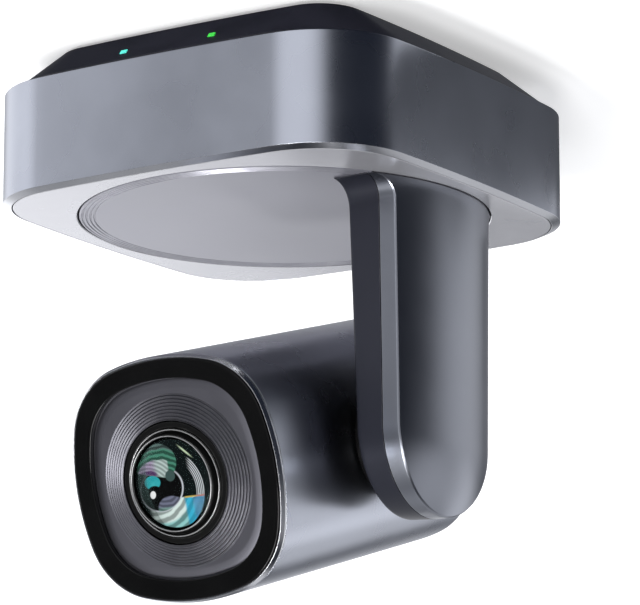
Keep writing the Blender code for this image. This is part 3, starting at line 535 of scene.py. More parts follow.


# Colours of the reflections painted on the second lens element, shown as glow.
DEEP_GREEN = (0.002, 0.005, 0.005, 1.0)
SILVER = (0.78, 0.82, 0.86, 1.0)
LIME = (0.55, 0.66, 0.45, 1.0)
SKY, BLUE = (0.04, 0.42, 0.62, 1.0), (0.08, 0.27, 0.46, 1.0)
PALE, SEA = (0.72, 0.84, 0.80, 1.0), (0.30, 0.62, 0.60, 1.0)
AMBER, CORAL = (0.55, 0.42, 0.10, 1.0), (0.50, 0.20, 0.16, 1.0)
RIM_GREY = (0.75, 0.78, 0.85, 1.0)
SLATE, MOSS = (0.18, 0.19, 0.27, 1.0), (0.20, 0.34, 0.30, 1.0)
GREEN, DULL_GREEN = (0.06, 0.22, 0.15, 1.0), (0.09, 0.14, 0.13, 1.0)
LILAC, MILK = (0.38, 0.30, 0.44, 1.0), (0.46, 0.55, 0.53, 1.0)
VIOLET, DUSK = (0.09, 0.04, 0.12, 1.0), (0.05, 0.09, 0.085, 1.0)
DARK_CYAN, CYAN = (0.02, 0.34, 0.38, 1.0), (0.06, 0.50, 0.52, 1.0)

OUTER_CENTRE = (2.0, 3.0)      # middle of the outer coloured crescents
PUPIL_CENTRE, PUPIL_RADIUS, PUPIL_STRETCH = (4.3, 2.6), 8.15, 0.87


def outer_arcs(shader, colour, x, up, glass, outer):
    """Painted reflections: fine silver arcs down one side, and the short bright streak above them."""
    reach = reach_from(shader, x, up, OUTER_CENTRE)
    arcs = both(shader, outer, shader.fade(reach, 10.4, 10.9), shader.fade(x, -6.0, -8.0),
                shader.fade(up, -7.6, -6.0), shader.fade(up, 5.9, 5.5))
    colour = shader.mix(arcs, colour, shader.scaled(SILVER, stripes(shader, reach, 0.62, 0.05, 0.85)))
    along = shader.math("MULTIPLY_ADD", up, 1.05, x)
    streak = both(shader, disc_mask(shader, along, up, (-15.7, -9.0), 0.42, 0.25, 4.4), glass)
    return shader.mix(streak, colour, LIME)


def coloured_fan(shader, colour, x, up, up_bent, outer):
    """Painted reflection: a pale and blue fan on the far side of the pupil, with a thin warm edge."""
    fan = both(shader, outer, shader.fade(up, 5.6, 6.1), shader.fade(x, 10.5, 8.0))
    bands = stripes(shader, reach_from(shader, x, up_bent, (8.0, -2.0)), 2.6, 0.42, 1.0)
    pale = shader.mix(shader.fade(reach_from(shader, x, up, PUPIL_CENTRE), 10.4, 11.6), PALE, SEA)
    sky = shader.mix(shader.fade(x, -6.2, -7.4), SKY, BLUE)
    fan_colour = shader.mix(shader.fade(x, -3.2, -4.4), shader.scaled(pale, bands),
                            shader.scaled(sky, shader.fade(bands, 0.3, 1.0, 0.7, 1.05)))
    colour = shader.mix(fan, colour, fan_colour)
    edge = both(shader, outer, line_mask(shader, up, 5.9, 0.40), shader.fade(x, -3.4, -4.4))
    return shader.mix(edge, colour, shader.mix(shader.fade(x, -7.0, -9.0), AMBER, CORAL))


def dark_pupil(shader, colour, x, up, up_bent, lean, glass):
    """The black pupil, with a painted highlight on its bright rim and a painted dim reflection in its lower part.
    """
    pupil = disc_mask(shader, lean, up, PUPIL_CENTRE, PUPIL_RADIUS, 0.2, PUPIL_STRETCH)
    colour = shader.mix(both(shader, pupil, glass), colour, grey(0.0012))
    rim = both(shader, glass, ring_mask(shader, lean, up, PUPIL_CENTRE, PUPIL_RADIUS, 0.5, PUPIL_STRETCH))
    rim_light = shader.fade(shader.math("SUBTRACT", up, x), -10.0, 6.0, 0.10, 0.85)
    colour = shader.mix(rim, colour, shader.scaled(RIM_GREY, rim_light))
    low = both(shader, pupil, disc_mask(shader, x, up, (1.4, 9.0), 5.2, 0.25, 0.78))
    low_bands = stripes(shader, reach_from(shader, x, up_bent, (3.0, 1.0)), 1.5, 0.55, 1.1)
    low_colour = shader.mix(shader.fade(up, 8.0, 9.2), SLATE, MOSS)
    return shader.mix(shader.math("MULTIPLY", low, 0.85), colour, shader.scaled(low_colour, low_bands))


def green_bubble(shader, colour, x, up, up_bent, swirl, glass):
    """Painted reflection: a banded green dome with a milky and violet foot."""
    slope = shader.math("MULTIPLY_ADD", x, 0.22, up)
    bubble = both(shader, glass, disc_mask(shader, x, up, (5.2, -6.3), 8.0, 0.2, 0.80),
                  shader.fade(slope, -0.5, -1.1))
    arch = reach_from(shader, x, up_bent, (4.2, 3.5))
    green = shader.mix(shader.fade(arch, 13.6, 14.6), GREEN, DULL_GREEN)
    colour = shader.mix(bubble, colour, shader.scaled(green, stripes(shader, arch, 1.7, 0.35, 1.1)))
    foot = both(shader, bubble, shader.fade(arch, 11.3, 10.7), shader.fade(x, 0.2, 0.9))
    milk = shader.mix(shader.fade(shader.math("ADD", x, swirl), 7.0, 4.0), LILAC, MILK)
    milk_bands = stripes(shader, reach_from(shader, x, up, (9.0, 4.0)), 1.3, 0.62, 1.1)
    colour = shader.mix(shader.math("MULTIPLY", foot, 0.95), colour, shader.scaled(milk, milk_bands))
    violet = both(shader, bubble, disc_mask(shader, x, up, (8.2, -2.6), 3.2, 0.8, 0.45))
    colour = shader.mix(violet, colour, VIOLET)
    return shader.mix(disc_mask(shader, x, up, (0.2, -1.6), 1.8, 0.15), colour, DUSK)


def small_lights(shader, colour, x, up, lean, swirl):
    """Painted reflections: a cyan patch with a bite taken out, and a white spark as a painted highlight."""
    bite = shader.math("SUBTRACT", 1.0, disc_mask(shader, x, up, (6.9, 3.4), 2.9, 0.2, 0.8))
    patch = both(shader, disc_mask(shader, x, up, (7.3, 0.0), 3.1, 0.15, 0.72), bite)
    colour = shader.mix(patch, colour, shader.mix(shader.fade(swirl, -0.3, 0.5), DARK_CYAN, CYAN))
    spark = disc_mask(shader, lean, up, (7.6, 4.0), 1.1, 0.15, 1.15)
    return shader.mix(spark, colour, grey(0.95))


def painted_lens_reflections(name):
    """The second lens element: dark glass with the coloured crescents of the coatings' reflections painted on it
    as glow.
    """
    material, shader = new_material(name)
    x, up = lens_coordinates(shader)
    glass = disc_mask(shader, x, up, (0.0, LENS_RISE), ELEMENT_RADIUS - 0.1, 0.15)
    up = shader.math("MULTIPLY_ADD", up, 1.06, -0.05)
    lean = shader.math("MULTIPLY_ADD", up, -0.14, shader.math("ADD", x, 0.36))
    swirl = shader.math("MULTIPLY_ADD", shader.noise(shader.place(), 170.0, 3.0), 2.0, -1.0)
    up_bent = shader.math("ADD", up, swirl)
    outer = both(shader, glass, disc_mask(shader, x, up, OUTER_CENTRE, 13.4, 0.2))
    colour = shader.mix(glass, grey(0.003), DEEP_GREEN)
    colour = outer_arcs(shader, colour, x, up, glass, outer)
    colour = coloured_fan(shader, colour, x, up, up_bent, outer)
    colour = dark_pupil(shader, colour, x, up, up_bent, lean, glass)
    colour = green_bubble(shader, colour, x, up, up_bent, swirl, glass)
    colour = small_lights(shader, colour, x, up, lean, swirl)
    # The painted reflections are shown through the emission, as glow.
    finish_surface(shader, {"Base Color": grey(0.002), "Roughness": 0.08, "Specular IOR Level": 0.1,
                            "Emission Color": colour, "Emission Strength": 1.0})
    return material


# ---------------------------------------------------------------- the materials

def make_materials():
    """Every look of the part, by a short name."""
    cool = (0.94, 0.98, 1.10)
    violet = (0.97, 0.96, 1.10)
    return {
        "paint": coated_metal("satin_paint", grey(0.40, cool), 1.0, 0.28),
        "arm_paint": coated_metal("arm_paint", grey(0.26, cool), 1.0, 0.30),
        "plate": coated_metal("pale_plate", grey(0.52, (0.98, 0.98, 1.03)), 0.6, 0.26),
        "disc": coated_metal("turntable_paint", grey(0.27, violet), 0.65, 0.32),
        "trim": coated_metal("bright_trim", grey(0.50, (0.98, 0.99, 1.03)), 1.0, 0.24, wear=0.0),
        "ring": coated_metal("lens_ring_edge", grey(0.42), 0.85, 0.30, wear=0.0),
        "dark": moulded("dark_plastic", grey(0.016, (0.95, 0.93, 1.45)), 0.38, specular=0.35),
        "arm_dark": coated_metal("arm_dark_paint", grey(0.018, (0.90, 0.95, 1.35)), 0.3, 0.42, wear=0.1,
                                 specular=0.2),
        "gloss": moulded("gloss_black", grey(0.003), 0.10, grain=0.000002, specular=0.2),
        "dish": coated_metal("lens_surround", grey(0.085, violet), 0.9, 0.40, wear=0.1, specular=0.3),
        "black": coated_metal("black_anodised", grey(0.003), 0.0, 0.40, wear=0.05, specular=0.06),
        "rubber": moulded("rubber", grey(0.02), 0.75, grain=0.00005),
        "steel": turned_metal("steel", grey(0.5), 0.32),
        "aluminium": turned_metal("aluminium", grey(0.62), 0.36),
        "brass": turned_metal("brass", (0.72, 0.50, 0.20, 1.0), 0.28),
        "board": circuit_board("circuit_board"),
        "white": moulded("button_plastic", grey(0.55), 0.4),
        "teal": lit_pipe("teal_light", (0.08, 0.60, 0.50, 1.0), 0.75),
        "green": lit_pipe("green_light", (0.04, 0.45, 0.05, 1.0), 0.8),
        "glass": clear_glass("front_glass_coating", (0.07, 0.11, 0.10, 1.0)),
        "inner_glass": clear_glass("inner_glass_coating", (0.60, 0.55, 0.80, 1.0)),
        # painted reflections on the second lens element, shown as glow
        "element": painted_lens_reflections("painted_lens_reflections"),
    }


MATERIAL = make_materials()

SLOT_LOOKS = {
    "satin_grey_metal": "paint", "pale_grey_metal": "plate", "dark_plastic": "dark", "gloss_black": "gloss",
    "lens_surround": "dish", "bright_trim": "trim", "black_metal": "black", "rubber": "rubber",
    "steel": "steel", "aluminium": "aluminium", "brass": "brass", "circuit_board": "board",
    "white_plastic": "white", "teal_light": "teal", "green_light": "green", "lens_glass": "inner_glass",
}


def dress_cad_nodes():
    """Gives every CAD node the procedural material of its slot."""
    for entry in frame["record"]["subparts"]:
        node = frame["nodes"][entry["node"]]
        look = MATERIAL[SLOT_LOOKS[entry["material_slot"]]]
        node.data.materials.clear()
        node.data.materials.append(look)


# ---------------------------------------------------------------- base

def base_wall():
    """Painted wall with a bright chamfer round its top, open at the rear panel."""
    top, seat = BASE_TOP, PLATE_LOW - GAP
    section = filleted([
        (BASE_HALF, WALL_LOW, 0.35), (BASE_HALF, top - RIM_DROP, 0.12),
        (BASE_HALF - RIM_WIDTH, top, 0.1), (BASE_HALF - RIM_WIDTH, seat, 0),
        (BASE_HALF - 5.5, seat, 0), (BASE_HALF - 5.5, seat - 2.0, 0),
        (BASE_HALF - 2.5, seat - 2.0, 0), (BASE_HALF - 2.5, WALL_LOW, 0.3)])
    wall = piece("base_wall", sweep("base_wall", section, base_outline, BASE), "base",
                 "satin_grey_metal", MATERIAL["paint"], "base_housing")
    wall.data.materials.append(MATERIAL["trim"])
    for face in wall.data.polygons:
        middle = face.center
        face.material_index = int(middle.z * METRE > top - RIM_DROP and face.normal.z > 0.3)
    low, high = millimetres("io_panel")
    cut(wall, block((low.x - GAP, BASE_HALF - 10, low.z - GAP),
                    (high.x + GAP, BASE_HALF + 10, high.z + GAP)))


def top_plate():
    """Pale plate with a round recess for the turntable."""
    top, outer = BASE_TOP, base_outline(PLATE_HALF)
    hole = circle_like(outer, RECESS_RADIUS)
    steps = [(outer, 0, PLATE_LOW), (outer, 0, top - 0.15), (outer, 0.15, top), (hole, -0.25, top),
             (hole, 0, top - 0.25), (hole, 0, PLATE_LOW)]
    rings = []
    for points, inset, z in steps:
        scale = 1 - inset / RECESS_RADIUS
        rings.append(([(x * scale, y * scale) for x, y in points], z))
    piece("top_plate", skin("top_plate", rings, BASE), "base", "pale_grey_metal", MATERIAL["plate"],
          "base_top_plate")


def turntable_piece():
    """Flush disc with fine turned grooves inside its edge."""
    top = BASE_TOP
    section = [(0, top), (20, top), (40, top), (60, top)]
    for groove in GROOVES:
        section += [(groove - GROOVE_HALF, top), (groove - GROOVE_FLOOR_HALF, top - GROOVE_DEPTH),
                    (groove + GROOVE_FLOOR_HALF, top - GROOVE_DEPTH), (groove + GROOVE_HALF, top)]
    section += [(TABLE_RADIUS - 0.25, top), (TABLE_RADIUS, top - 0.25), (TABLE_RADIUS, TABLE_LOW),
                (0, TABLE_LOW)]
    mesh = lathe("turntable_top", section, BASE, 20.0, 240)
    disc = piece("turntable_top", mesh, "turntable", "pale_grey_metal", MATERIAL["disc"], "turntable_disc")
    drill(disc, CABLE_RADIUS, top + 5, TABLE_LOW - 5, BASE @ Matrix.Translation((CABLE_X, 0, 0)), 32)


def cover_piece():
    """Black tray with soft edges, light windows, foot pockets and screw holes."""
    section = filleted([
        (COVER_FLOOR_HALF, COVER_LOW, 0.9), (COVER_HALF, COVER_HIGH, 0.5),
        (COVER_HALF - 2.9, COVER_HIGH, 0), (COVER_FLOOR_HALF - 0.4, COVER_LOW + COVER_WALL, 0)], 5)
    edit = bmesh.new()
    rows = [[edit.verts.new(BASE @ Vector((x, y, z))) for x, y in cover_outline(half)]
            for half, z in section]
    for first, second in zip(rows, rows[1:]):
        bridge(edit, first, second)
    edit.faces.new(rows[0])
    edit.faces.new(rows[-1])
    cover = piece("black_tray", mesh_from(edit, "black_tray"), "base", "dark_plastic", MATERIAL["dark"],
                  "bottom_cover")
    for x in (-FOOT_PLACE, FOOT_PLACE):
        for y in (-FOOT_PLACE, FOOT_PLACE):
            drill(cover, FOOT_RADIUS + GAP, COVER_LOW + 1, -1, BASE @ Matrix.Translation((x, y, 0)), 48)
    for x in (-POST_X, POST_X):
        for y in (-POST_Y, POST_Y):
            hole = [(0, 9), (SCREW_RADIUS, 9), (SCREW_RADIUS, SCREW_SEAT), (SCREW_HEAD_RADIUS, SCREW_SEAT),
                    (SCREW_HEAD_RADIUS, -1), (0, -1)]
            cut(cover, lathe("screw_hole", hole, BASE @ Matrix.Translation((x, y, 0)), steps=40))
    drill(cover, INSERT_RADIUS, 6, -1, BASE, 64)
    for node in ("status_light_pipe", "power_light_pipe"):
        window = frame["nodes"][node].data.copy()
        centre = sum((v.co for v in window.vertices), Vector()) / len(window.vertices)
        window.transform(Matrix.Translation(centre) @ Matrix.Scale(1.12, 4) @ Matrix.Translation(-centre))
        cut(cover, window)


# ---------------------------------------------------------------- arm

def arm_half_outline(inset):
    """(height, half width) from the foot to the crown, for an outline drawn in by inset."""
    flare, foot_half, top_half = ARM_FLARE + inset, ARM_HALF_FOOT - inset, ARM_HALF_TOP - inset
    points = []
    for i in range(13):
        a = math.pi / 2 * i / 12
        points.append((ARM_FOOT + flare * (1 - math.cos(a)), foot_half + flare * (1 - math.sin(a))))
    start = points[-1][0]
    for i in range(1, 25):
        t = i / 25
        points.append((start + (TILT_Z - start) * t, foot_half + (top_half - foot_half) * t))
    for i in range(41):
        a = math.pi / 2 * i / 40
        points.append((TILT_Z + top_half * math.sin(a), top_half * math.cos(a)))
    return points


def outer_depth(z, y):
    """How far the arm's outer face stands from the pan axis, towards -X."""
    h = z - BASE_TOP
    radius = ARM_RADIUS - ARM_LEAN * h - max(0.0, h - ARM_DOME_START) ** 2 / (2 * ARM_DOME_RADIUS)
    return math.sqrt(radius ** 2 - y ** 2)


def inner_depth(z, _y):
    """The same for the arm's flat inner face, which leans a little."""
    return ARM_FACE_FOOT + ARM_FACE_LEAN * (z - BASE_TOP)


def arm_shell(name, depth, rings, back):
    """Half of the arm: a face with a height field, an edge built of (inset, drop) rings, and a wall.

    A ring's drop is taken off the face's depth towards the joint between the halves at ARM_SPLIT.
    """
    edit = bmesh.new()

    def vertex(z, y, d):
        return edit.verts.new(BASE @ Vector((-d, y, z)))

    def loop(inset, drop):
        half = arm_half_outline(inset)
        whole = [(z, -y) for z, y in half] + [(z, y) for z, y in reversed(half[:-1])]
        towards = 1 if back < depth(TILT_Z, 0) else -1
        return [vertex(z, y, back if drop is None else depth(z, y) - towards * drop) for z, y in whole]

    across_face = [2 * j / (ARM_COLUMNS - 1) - 1 for j in range(ARM_COLUMNS)]
    face_inset = rings[0][0]
    grid = [[vertex(z, y * share, depth(z, y * share)) for share in across_face]
            for z, y in arm_half_outline(face_inset)]
    for low, high in zip(grid, grid[1:]):
        for j in range(ARM_COLUMNS - 1):
            edit.faces.new((low[j], low[j + 1], high[j + 1], high[j]))
    loops = [loop(inset, drop) for inset, drop in rings]
    for first, second in zip(loops, loops[1:]):
        for i in range(len(first) - 1):
            edit.faces.new((first[i], first[i + 1], second[i + 1], second[i]))
    bmesh.ops.remove_doubles(edit, verts=edit.verts, dist=CLOSE)
    bmesh.ops.dissolve_degenerate(edit, edges=edit.edges, dist=CLOSE)
    return mesh_from(edit, name)


def thicken(made, thickness):
    """Turns a sheet into a wall that grows inwards."""
    step = made.modifiers.new("wall", "SOLIDIFY")
    step.thickness = thickness * MM
    step.offset = -1
    step.use_even_offset = False
    step.use_rim = True
    apply_modifiers(made)


def arm_pieces():
    """Outer shell and dark inner cover, which meet at ARM_SPLIT."""
    rings = [(0.45, 0.0), (0.38, 0.03), (0.05, 0.38), (0.0, 0.5), (0.0, 2.0), (0.0, None)]
    shell = piece("arm_shell", arm_shell("arm_shell", outer_depth, rings, ARM_SPLIT + GAP), "turntable",
                  "satin_grey_metal", MATERIAL["arm_paint"], "arm_outer_shell")
    thicken(shell, ARM_WALL)
    rings = [(1.8, 0.0), (1.3, 0.12), (0.8, 0.5), (0.6, 1.1), (0.55, 2.0), (0.0, None)]
    cover = piece("arm_inner_half", arm_shell("arm_inner_half", inner_depth, rings, ARM_SPLIT), "turntable",
                  "dark_plastic", MATERIAL["arm_dark"], "arm_inner_cover")
    thicken(cover, ARM_WALL)
    drill(cover, SHAFT_RADIUS, 60, 30, TILT, 72)


def hub_piece():
    """Collar between the arm and the head, with a shallow groove."""
    section = filleted([
        (5, 61.8, 0), (8, 61.8, 0.4), (8, 43.6, 0), (18, 43.6, 0.5), (18, 41.7, 0), (17.4, 41.5, 0),
        (17.4, 41.0, 0), (18, 40.8, 0), (18, 38.9, 0.5), (12, 38.9, 0), (12, 34.4, 0), (14.5, 34.4, 0),
        (14.5, 31.5, 0), (5, 31.5, 0)])
    piece("tilt_collar", lathe("tilt_collar", section, TILT), "head", "black_metal", MATERIAL["black"],
          "tilt_hub")


# ---------------------------------------------------------------- head

def head_half(s):
    """Half the width of the head at a place along the lens axis."""
    return HEAD_REAR_HALF + (HEAD_FRONT_HALF - HEAD_REAR_HALF) * (s - HEAD_REAR) / (SHELL_FRONT - HEAD_REAR)


def head_casing():
    """Square tube with round corners, and the dark panel that closes its back."""
    rear = HEAD_REAR
    section = filleted([
        (head_half(SHELL_FRONT), SHELL_FRONT, 0.15), (head_half(rear), rear, 3.0),
        (BACK_HALF + GAP, rear, 0.3), (BACK_HALF + GAP, rear + 2.3, 0),
        (head_half(rear) - HEAD_WALL, rear + 5.0, 0),
        (head_half(SHELL_FRONT) - HEAD_WALL, SHELL_FRONT, 0)], 8)
    mesh = sweep("head_tube", section, head_outline, HEAD)
    tube = piece("head_tube", mesh, "head", "satin_grey_metal", MATERIAL["paint"], "head_shell")
    drill(tube, NECK_RADIUS, 45, 30, TILT, 96)

    panel = filleted([(BACK_HALF, rear + 0.1, 0.5), (BACK_HALF, rear + 2.0, 0), (0, rear + 2.0, 0),
                      (0, rear + 0.1, 0)])
    piece("head_back", sweep("head_back", panel, head_outline, HEAD), "head", "dark_plastic",
          MATERIAL["dark"], "head_back_plate")


def front_trim():
    """Bright edge of the head, and the black frame inside it."""
    section = filleted([
        (HEAD_FRONT_HALF, SHELL_FRONT + GAP, 0.1), (HEAD_FRONT_HALF, SHELL_FRONT + 1.0, 0.15),
        (BEZEL_OUTER + 0.55, RIM_FRONT, 0.12), (BEZEL_OUTER + GAP, RIM_FRONT, 0.08),
        (BEZEL_OUTER + GAP, RIM_SEAT, 0), (34.0, RIM_SEAT, 0), (34.0, RIM_BACK, 0),
        (HEAD_FRONT_HALF - HEAD_WALL - GAP, RIM_BACK, 0),
        (HEAD_FRONT_HALF - HEAD_WALL - GAP, SHELL_FRONT + GAP, 0)])
    piece("front_edge", sweep("front_edge", section, head_outline, HEAD), "head", "bright_trim",
          MATERIAL["trim"], "front_rim")
    section = filleted([
        (BEZEL_OUTER, RIM_SEAT + GAP, 0), (BEZEL_OUTER, BEZEL_FRONT, 0.35),
        (BEZEL_INNER, BEZEL_FRONT, 0.35), (BEZEL_INNER, RIM_SEAT + GAP, 0)], 6)
    piece("black_bezel", sweep("black_bezel", section, head_outline, HEAD), "head", "gloss_black",
          MATERIAL["gloss"], "front_bezel")


def shroud_piece():
    """Surround of the lens: a curved square band, then a shallow cone of fine ridges up to the barrel."""
    edge = head_outline(BEZEL_INNER - GAP)
    back = head_outline(33.7)
    rings = [(back, RIM_SEAT), (edge, RIM_SEAT), (edge, 60.2)]
    for half, height in ((30.85, 60.26), (30.2, 60.40), (29.4, 60.52), (28.7, 60.60), (28.0, 60.66)):
        rings.append((head_outline(half), height))
    pitch = (RIDGE_OUTER - RIDGE_INNER) / RIDGES

    def ridge(turn, drop):
        """A circle this many ridges in from the outermost one."""
        share = turn / RIDGES
        points = circle_like(edge, RIDGE_OUTER - pitch * turn)
        rise = LENS_RISE * (1 + share) / 2
        return [(x, y + rise) for x, y in points], RIDGE_LOW + (RIDGE_HIGH - RIDGE_LOW) * share + drop

    for i in range(RIDGES):
        for step, drop in ((0.0, 0.0), (0.12, 0.0), (0.52, -0.32), (0.60, -0.32)):
            rings.append(ridge(i + step, drop))
    bore = ridge(RIDGES, 0)[0]
    rings += [ridge(RIDGES - 0.25, 0.04), (bore, RIDGE_HIGH - 0.2), (bore, SHROUD_BACK),
              (back, SHROUD_BACK)]
    piece("ridged_surround", skin("ridged_surround", rings, HEAD, 24.0), "head", "lens_surround",
          MATERIAL["dish"], "lens_shroud")


def dome(radius, rise, crown):
    """Points of a convex face from its edge in to its centre."""
    sphere = (radius ** 2 + rise ** 2) / (2 * rise)
    swing = math.asin(radius / sphere) / DOME_STEPS
    return [(sphere * math.sin(swing * i), crown - sphere * (1 - math.cos(swing * i)))
            for i in range(DOME_STEPS, -1, -1)]


def lens_pieces():
    """Barrel, its two bright rings, the front glass and the glass behind it, with painted reflections on it."""
    bore = GLASS_RADIUS + GAP
    barrel = filleted([
        (bore, BARREL_NOSE, 0), (15.2, BARREL_NOSE, 0.15), (15.9, BARREL_FACE - 0.3, 0.1),
        (17.1, BARREL_FACE - 0.3, 0), (17.3, BARREL_FACE, 0), (BARREL_RADIUS, BARREL_FACE, 0.25),
        (BARREL_RADIUS, 52.3, 0), (13.2, 52.3, 0), (13.2, 60.0, 0), (bore, 60.0, 0)])
    piece("barrel_face", lathe("barrel_face", barrel, LENS), "head", "black_metal", MATERIAL["black"],
          "lens_barrel")
    for name, node, radius, front in (
            ("outer_bright_ring", "outer_lens_ring", OUTER_RING_RADIUS, BARREL_FACE + RING_HEIGHT),
            ("inner_bright_ring", "inner_lens_ring", INNER_RING_RADIUS, BARREL_NOSE + RING_HEIGHT)):
        inside, outside, back = radius - RING_HALF, radius + RING_HALF, front - RING_HEIGHT
        ring = filleted([(inside, front, 0.08), (outside, front, 0.08), (outside, back, 0),
                         (inside, back, 0)], 3)
        piece(name, lathe(name, ring, LENS), "head", "bright_trim", MATERIAL["ring"], node)
    glass = [(GLASS_RADIUS, GLASS_FOOT)] + dome(GLASS_RADIUS, 2.8, GLASS_CROWN)
    glass += reversed(dome(GLASS_RADIUS - 0.4, 2.6, GLASS_CROWN - 0.7))
    glass += [(GLASS_RADIUS - 0.4, GLASS_FOOT)]
    piece("front_element", lathe("front_element", glass, LENS), "head", "lens_glass", MATERIAL["glass"],
          "front_glass")
    # The second element carries the painted lens reflections.
    second = [(ELEMENT_RADIUS, ELEMENT_FOOT)] + dome(ELEMENT_RADIUS, 0.7, ELEMENT_CROWN)
    second += [(0, ELEMENT_FOOT)]
    piece("second_element", lathe("second_element", second, LENS), "head", "lens_glass",
          MATERIAL["element"])


# ---------------------------------------------------------------- stage

CAMERA_PLACE = (-0.7196, -1.0612, 0.3765)
CAMERA_HEADING = math.radians(33.62)       # from +Y towards +X
CAMERA_PITCH = math.radians(12.99)         # below the horizon
CAMERA_LENS = 228.7
FLOOR_HALF = 6.0
BACK_LIGHT, BACK_LIGHT_AIM = Vector((0.30, 0.50, 0.45)), Vector((0.02, 0.03, 0.053))
# Outline of the painted-shade sheet on the floor behind the base, in millimetres.
SHADE_CARD = ((-228, 0), (-78, 0), (-78, 78), (60, 78), (90, 222), (-228, 222))


def add_camera():
    """The object is seen hanging, so the camera is rolled by half a turn."""
    data = bpy.data.cameras.new("camera")
    data.lens = CAMERA_LENS
    data.sensor_width = 36.0
    camera = bpy.data.objects.new("camera", data)
    bpy.context.scene.collection.objects.link(camera)
    turn = (Matrix.Rotation(-CAMERA_HEADING, 4, "Z") @ Matrix.Rotation(math.pi / 2 - CAMERA_PITCH, 4, "X")
            @ Matrix.Rotation(math.pi, 4, "Z"))
    camera.matrix_world = Matrix.Translation(CAMERA_PLACE) @ turn
    bpy.context.scene.camera = camera


def flat_sheet(name, corners, height):
    """A flat face of the studio that isn't part of the object."""
    edit = bmesh.new()
    edit.faces.new([edit.verts.new((x, y, height)) for x, y in corners])
    mesh = bpy.data.meshes.new(name)
    edit.to_mesh(mesh)
    edit.free()
    sheet = bpy.data.objects.new(name, mesh)
    bpy.context.scene.collection.objects.link(sheet)
    return sheet


def add_floor():
    """Near-white ground that takes the shadow."""
    size = FLOOR_HALF
    floor = flat_sheet("floor", ((-size, -size), (size, -size), (size, size), (-size, size)), 0.0)
    material, shader = new_material("pale_floor")
    tone = shader.fade(shader.noise(shader.place(), 3.0, 2.0), 0.3, 0.7, 0.79, 0.81)
    colour = shader.node("ShaderNodeCombineColor", {0: tone, 1: tone, 2: tone}).outputs[0]
    finish_surface(shader, {"Base Color": colour, "Roughness": 0.9, "Specular IOR Level": 0.0,
                            "Emission Color": grey(1.0), "Emission Strength": 0.43})
    floor.data.materials.append(material)
    floor.visible_glossy = False


def add_shade_card():
    """Painted shade: a dark sheet on the floor behind the base, standing in for the floor's shadow there, seen
    only in reflections low on the wall.
    """
    card = flat_sheet("shade_card", [(x * MM, y * MM) for x, y in SHADE_CARD], 0.2 * MM)
    material, shader = new_material("shade_card")
    tone = shader.fade(shader.noise(shader.place(), 6.0, 2.0), 0.3, 0.7, 0.10, 0.14)
    glow = shader.node("ShaderNodeEmission", {0: grey(1.0, (0.94, 0.98, 1.08)), 1: tone}).outputs[0]
    shader.node("ShaderNodeOutputMaterial", {"Surface": glow})
    card.data.materials.append(material)
    card.visible_camera = False
    card.visible_diffuse = False
    card.visible_transmission = False
    card.visible_shadow = False


def direction(heading, elevation):
    """A unit vector; headings run in degrees from -Y towards -X."""
    a, e = math.radians(heading), math.radians(elevation)
    return -math.sin(a) * math.cos(e), -math.cos(a) * math.cos(e), math.sin(e)


def add_light(name, kind, place, toward_light, strength, **settings):
    """A light that gives soft shadows, but no highlights of its own."""
    data = bpy.data.lights.new(name, kind)
    data.energy = strength
    data.specular_factor = 0.0
    for key, value in settings.items():
        setattr(data, key, value)
    light = bpy.data.objects.new(name, data)
    light.location = place
    light.rotation_euler = Vector(toward_light).to_track_quat("Z", "Y").to_euler()
    bpy.context.scene.collection.objects.link(light)


def add_lights():
    add_light("key", "SUN", (0, 0, 1), direction(26, 31), 1.9, angle=math.radians(16))
    add_light("fill", "SUN", (0, 0, 1), direction(-6, 42), 2.65, angle=math.radians(24))
    add_light("back", "SPOT", BACK_LIGHT, BACK_LIGHT - BACK_LIGHT_AIM, 0.7,
              spot_size=math.radians(20), spot_blend=0.6, shadow_soft_size=0.06)


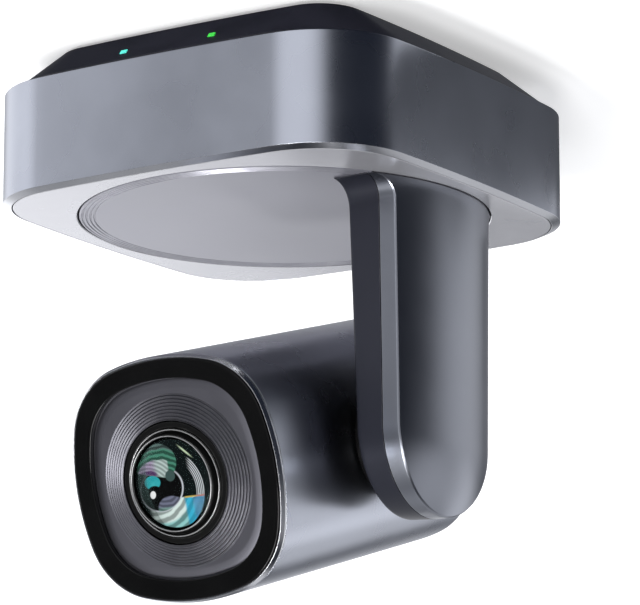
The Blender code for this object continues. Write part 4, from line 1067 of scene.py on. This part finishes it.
# Softboxes of the studio that metal surfaces reflect: heading in degrees from -Y towards -X,
# elevation, inner and outer half width in degrees, brightness.
SOFTBOXES = (
    (-80, -15, 11, 47, 1.45),      # left, seen in the left corner
    (-38, -16, 10, 34, 0.34),      # low front, seen in the front wall
    (-60, 50, 12, 40, 0.25),       # high front, seen in the front chamfer
    (-8, 32, 7, 26, 1.3),          # high front, seen in the lens surround
    (7, -15, 10, 38, 1.40),        # the highlight on the near corner
    (152, -22, 8, 33, 1.1),        # the highlight on the arm
    (126, 16, 8, 27, 1.0),         # seen in the crown of the arm
    (157, 9, 5, 17, 0.85),         # the bright line along the head
    (170, 17, 5, 22, 0.95),        # beside the bright line on the head
    (-148, -8, 10, 28, 0.6),       # seen in the upper part of the head
    (-176, 38, 6, 24, 0.8),        # seen in the chamfer along the arm's side
    (-150, 70, 10, 30, 0.9),       # overhead, seen in the chamfer at the near corner
    (-113, 16, 14, 41, 0.8),       # behind, seen in the plate
    (-132, 4, 11, 20, 1.1),        # low behind, seen in the far side of the plate
)
AMBIENT = (0.020, 0.025, 0.040)


def studio_world():
    """Soft boxes in an otherwise dim room; the background itself is seen white."""
    world = bpy.data.worlds.new("studio")
    world.use_nodes = True
    bpy.context.scene.world = world
    shader = Shader(world.node_tree)
    toward = shader.node("ShaderNodeTexCoord").outputs["Generated"]
    light = 0.0
    for heading, elevation, inner, outer, strength in SOFTBOXES:
        facing = shader.vector("DOT_PRODUCT", toward, direction(heading, elevation))
        start, end = math.cos(math.radians(outer)), math.cos(math.radians(inner))
        light = shader.math("ADD", shader.fade(facing, start, end, 0.0, strength), light)
    boxes = shader.scaled((0.98, 0.99, 1.02), light)
    room = shader.node("ShaderNodeBackground", {0: shader.vector("ADD", boxes, AMBIENT)}).outputs[0]
    backdrop = shader.node("ShaderNodeBackground", {0: grey(1.0), 1: 1.0}).outputs[0]
    seen = shader.node("ShaderNodeLightPath").outputs["Is Camera Ray"]
    mixed = shader.node("ShaderNodeMixShader", {0: seen, 1: room, 2: backdrop}).outputs[0]
    shader.node("ShaderNodeOutputWorld", {"Surface": mixed})


def add_stage():
    add_camera()
    add_floor()
    studio_world()
    add_shade_card()
    add_lights()
    bpy.context.scene.view_settings.view_transform = "Standard"


dress_cad_nodes()
base_wall()
top_plate()
turntable_piece()
cover_piece()
arm_pieces()
hub_piece()
head_casing()
front_trim()
shroud_piece()
lens_pieces()
add_stage()
